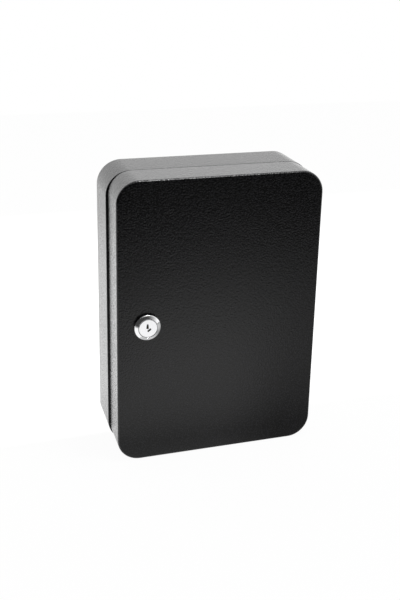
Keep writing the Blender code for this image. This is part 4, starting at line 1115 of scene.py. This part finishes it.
def make_hinge(plating, metal_finish):
    """Both leaves of the long hinge, and its pin."""
    low, high = node_box("hinge_casing_leaf")
    outer_x = CASING_HIGH.x - SHEET - PIECE_GAP
    inner_x = outer_x - LEAF_SHEET
    plate_y = HINGE_Y + LEAF_SCREEN
    plate = [(inner_x, plate_y), (outer_x, plate_y), (outer_x, high.y), (inner_x, high.y)]
    start = 2 * math.pi - math.acos(max(-1.0, (inner_x - HINGE_X) / HINGE_KNUCKLE_RADIUS))
    end = 2 * math.pi + math.acos((outer_x - HINGE_X) / HINGE_KNUCKLE_RADIUS)
    barrel = arc_points(HINGE_AXIS, HINGE_KNUCKLE_RADIUS, start, end, HOLE_STEPS)
    barrel += [(outer_x, plate_y + LEAF_SHEET), (inner_x, plate_y + LEAF_SHEET)]
    mesh = hinge_leaf(plate, barrel, 0, "casing_leaf")
    finish_piece("casing_leaf", mesh, plating, "casing", ["hinge_casing_leaf"])
    low, high = node_box("hinge_door_leaf")
    outer_x = DOOR_HIGH.x - SHEET - PIECE_GAP
    inner_x = outer_x - LEAF_SHEET
    rear_y = DOOR_HIGH.y
    front_y = rear_y - LEAF_SHEET
    edge_x = HINGE_X - LEAF_SCREEN
    plate = [(inner_x, rear_y), (inner_x, low.y), (outer_x, low.y), (outer_x, front_y)]
    plate += [(edge_x, front_y), (edge_x, rear_y)]
    start = math.pi + math.asin((HINGE_Y - front_y) / HINGE_KNUCKLE_RADIUS)
    end = 3 * math.pi + math.asin((HINGE_Y - rear_y) / HINGE_KNUCKLE_RADIUS)
    barrel = arc_points(HINGE_AXIS, HINGE_KNUCKLE_RADIUS, start, end, HOLE_STEPS)
    barrel += [(edge_x - LEAF_SHEET, rear_y), (edge_x - LEAF_SHEET, front_y)]
    mesh = hinge_leaf(plate, barrel, 1, "door_leaf")
    finish_piece("door_leaf", mesh, plating, "door", ["hinge_door_leaf"])
    make_pin(metal_finish)


def make_pin(metal_finish):
    """The hinge's pin, with eased ends."""
    corners = [(PIN_RADIUS / 2, HINGE_LOW.z), (PIN_RADIUS, HINGE_LOW.z)]
    corners += [(PIN_RADIUS, HINGE_HIGH.z), (PIN_RADIUS / 2, HINGE_HIGH.z)]
    bm = bmesh.new()
    rings = []
    for radius, z in eased(corners, PIN_RADIUS / 2, PROFILE_STEPS, closed=False):
        around = arc_points(HINGE_AXIS, radius, 0.0, 2 * math.pi, HOLE_STEPS)[:-1]
        rings.append([(x, y, z) for x, y in around])
    bridge_rings(bm, rings)
    mesh = smooth(mesh_from(bm, "pin"))
    finish_piece("pin", mesh, metal_finish, "casing", ["hinge_pin"])


def paint_nodes(finishes):
    """Gives the carried-over CAD nodes their materials."""
    kinds = (
        ("hinge_pin", "spring_steel"),
        ("cam_spring_washer", "spring_steel"),
        ("wafer_spring", "spring_steel"),
        ("lock_wafer", "stamped_brass"),
        ("lock_housing", "bright_chrome"),
        ("lock_plug", "bright_chrome"),
    )
    for name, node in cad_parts.items():
        kind = next((finish for start, finish in kinds if name.startswith(start)), "zinc_plate")
        for slot in node.material_slots:
            slot.material = finishes[kind]


def glow_ramp(tree, y):
    """The painted light on the floor by y, from FLOOR_GLOW."""
    ramp = add_node(tree, "ValToRGB")
    elements = ramp.color_ramp.elements
    span = FLOOR_BACK_Y - FLOOR_FRONT_Y
    places = [(stop_y - FLOOR_FRONT_Y) / span for stop_y, level in FLOOR_GLOW]
    elements[0].position = places[0]
    elements[1].position = places[-1]
    for place in places[1:-1]:
        elements.new(place)
    for element, (stop_y, level) in zip(elements, FLOOR_GLOW):
        element.color = (level, level, level, 1.0)
    share = mapped(tree, y, 0.0, 1.0, FLOOR_FRONT_Y, FLOOR_BACK_Y)
    tree.links.new(share, ramp.inputs["Fac"])
    return ramp.outputs["Color"]


def pool_level(tree, x, y):
    """Painted pool of light: falls off to both sides of the pool, which widens and slants away from the door.
    """
    away = math_node(tree, "MULTIPLY", math_node(tree, "SUBTRACT", DOOR_FRONT_Y, y), 1 / POOL_REACH)
    middle = math_node(tree, "ADD", math_node(tree, "MULTIPLY", away, POOL_SLANT), POOL_START)
    aside = math_node(tree, "ABSOLUTE", math_node(tree, "SUBTRACT", x, middle))
    half = math_node(tree, "MULTIPLY", math_node(tree, "ADD", away, 1.0), POOL_HALF_WIDTH)
    fall = mapped(tree, math_node(tree, "DIVIDE", aside, half), 1.0, POOL_EDGE_LEVEL, *POOL_EDGE)
    behind = mapped(tree, y, 0.0, 1.0, *POOL_BACK_Y)
    return math_node(tree, "MAXIMUM", fall, behind)


def floor_glow(tree):
    """Painted light on the floor as gloss shows it: a pool before the door, bright behind and at the left."""
    coordinates = add_node(tree, "TexCoord")
    split = add_node(tree, "SeparateXYZ")
    tree.links.new(coordinates.outputs["Object"], split.inputs["Vector"])
    x = split.outputs["X"]
    y = split.outputs["Y"]
    boost = mapped(tree, y, 1.0, FLOOR_BACK_BOOST, *FLOOR_BOOST_Y)
    level = math_node(tree, "MULTIPLY", glow_ramp(tree, y), boost)
    level = math_node(tree, "MULTIPLY", level, pool_level(tree, x, y))
    beside = mapped(tree, x, 1.0, 0.0, *LEFT_FLOOR_X)
    near = mapped(tree, y, 0.0, 1.0, *LEFT_FLOOR_Y)
    return math_node(tree, "MAXIMUM", level, math_node(tree, "MULTIPLY", beside, near))


def stage_material():
    """A white floor that shows white to the camera and its painted light in gloss, and keeps a soft shadow.
    """
    made = bpy.data.materials.new("floor_white")
    made.use_nodes = True
    tree = made.node_tree
    tree.nodes.clear()
    output = add_node(tree, "OutputMaterial")
    path = add_node(tree, "LightPath")
    plain = add_node(tree, "BsdfDiffuse")
    plain.inputs["Color"].default_value = FLOOR_COLOR
    white = add_node(tree, "Emission")
    white.inputs["Color"].default_value = (1.0, 1.0, 1.0, 1.0)
    camera = path.outputs["Is Camera Ray"]
    # Painted light: glossy rays see the floor glow at the painted levels of floor_glow
    tree.links.new(math_node(tree, "MAXIMUM", camera, floor_glow(tree)), white.inputs["Strength"])
    seen = math_node(tree, "MAXIMUM", camera, path.outputs["Is Glossy Ray"])
    mix = add_node(tree, "MixShader")
    tree.links.new(math_node(tree, "MULTIPLY", seen, FLOOR_GLOW_SHARE), mix.inputs["Fac"])
    tree.links.new(plain.outputs["BSDF"], mix.inputs[1])
    tree.links.new(white.outputs["Emission"], mix.inputs[2])
    tree.links.new(mix.outputs["Shader"], output.inputs["Surface"])
    return made


def make_floor():
    """The floor, as part of the stage."""
    bm = bmesh.new()
    corners = [
        (-FLOOR_HALF_WIDTH, FLOOR_FRONT_Y, 0.0),
        (FLOOR_HALF_WIDTH, FLOOR_FRONT_Y, 0.0),
        (FLOOR_HALF_WIDTH, FLOOR_BACK_Y, 0.0),
        (-FLOOR_HALF_WIDTH, FLOOR_BACK_Y, 0.0),
    ]
    bm.faces.new([bm.verts.new(corner) for corner in corners])
    mesh = mesh_from(bm, "floor")
    mesh.materials.append(stage_material())
    floor = bpy.data.objects.new("floor", mesh)
    bpy.context.scene.collection.objects.link(floor)


def dot_with(tree, vector, direction):
    """How far a direction vector points along another."""
    node = add_node(tree, "VectorMath", operation="DOT_PRODUCT")
    tree.links.new(vector, node.inputs[0])
    node.inputs[1].default_value = Vector(direction).normalized()
    return node.outputs["Value"]


def math_node(tree, operation, *values):
    """One step of arithmetic on numbers or sockets."""
    node = add_node(tree, "Math", operation=operation)
    for socket, value in zip(node.inputs, values):
        if isinstance(value, float):
            socket.default_value = value
        else:
            tree.links.new(value, socket)
    return node.outputs["Value"]


def make_world():
    """White surroundings, dark towards the open front of the studio and its left."""
    world = bpy.data.worlds.new("studio")
    bpy.context.scene.world = world
    world.use_nodes = True
    tree = world.node_tree
    tree.nodes.clear()
    output = add_node(tree, "OutputWorld")
    background = add_node(tree, "Background")
    path = add_node(tree, "LightPath")
    coordinates = add_node(tree, "TexCoord")
    around = coordinates.outputs["Generated"]
    left = mapped(tree, dot_with(tree, around, DARK_LEFT), 0.0, 1.0, *DARK_LEFT_EDGE)
    front = mapped(tree, dot_with(tree, around, DARK_FRONT), 0.0, 1.0, *DARK_FRONT_EDGE)
    dark = math_node(tree, "MAXIMUM", left, front)
    level = mapped(tree, dark, WORLD_LEVEL, DARK_LEVEL)
    seen = path.outputs["Is Camera Ray"]
    hidden = math_node(tree, "MULTIPLY", level, math_node(tree, "SUBTRACT", 1.0, seen))
    background.inputs["Color"].default_value = (1.0, 1.0, 1.0, 1.0)
    tree.links.new(math_node(tree, "ADD", hidden, seen), background.inputs["Strength"])
    tree.links.new(background.outputs["Background"], output.inputs["Surface"])


def make_key_light():
    """A soft lamp overhead, a little to the right and longer from front to back."""
    data = bpy.data.lights.new("key_light", "AREA")
    data.shape = "RECTANGLE"
    data.size = KEY_WIDTH
    data.size_y = KEY_LENGTH
    data.energy = KEY_POWER
    lamp = bpy.data.objects.new("key_light", data)
    lamp.location = KEY_PLACE
    facing = Vector(KEY_TARGET) - Vector(KEY_PLACE)
    lamp.rotation_euler = facing.to_track_quat("-Z", "Y").to_euler()
    bpy.context.scene.collection.objects.link(lamp)


def main():
    """Builds the camera, the pieces and the stage."""
    bpy.context.scene.view_settings.view_transform = "Standard"
    place_camera()
    finishes = {name: metal(name, *values) for name, values in METALS.items()}
    zinc = finishes["zinc_plate"]
    steel = finishes["spring_steel"]
    chrome = finishes["bright_chrome"]
    paint_nodes(finishes)
    make_casing(black_paint("casing_paint", CASING_COAT))
    make_door(black_paint("door_paint", DOOR_COAT))
    make_lock_body(chrome)
    make_lock_core(chrome)
    make_toothed_washer(zinc)
    make_nut(zinc)
    make_stop_plate(zinc)
    make_cam(zinc)
    make_cam_washer(steel)
    make_cam_screw(zinc)
    rail = rail_mesh()
    screw = screw_mesh()
    for prefix in ("casing", "door"):
        place_copies(rail, "key_rail", prefix, zinc)
        place_copies(screw, "rail_screw", prefix, zinc)
    make_hinge(zinc, steel)
    make_floor()
    make_world()
    make_key_light()


main()
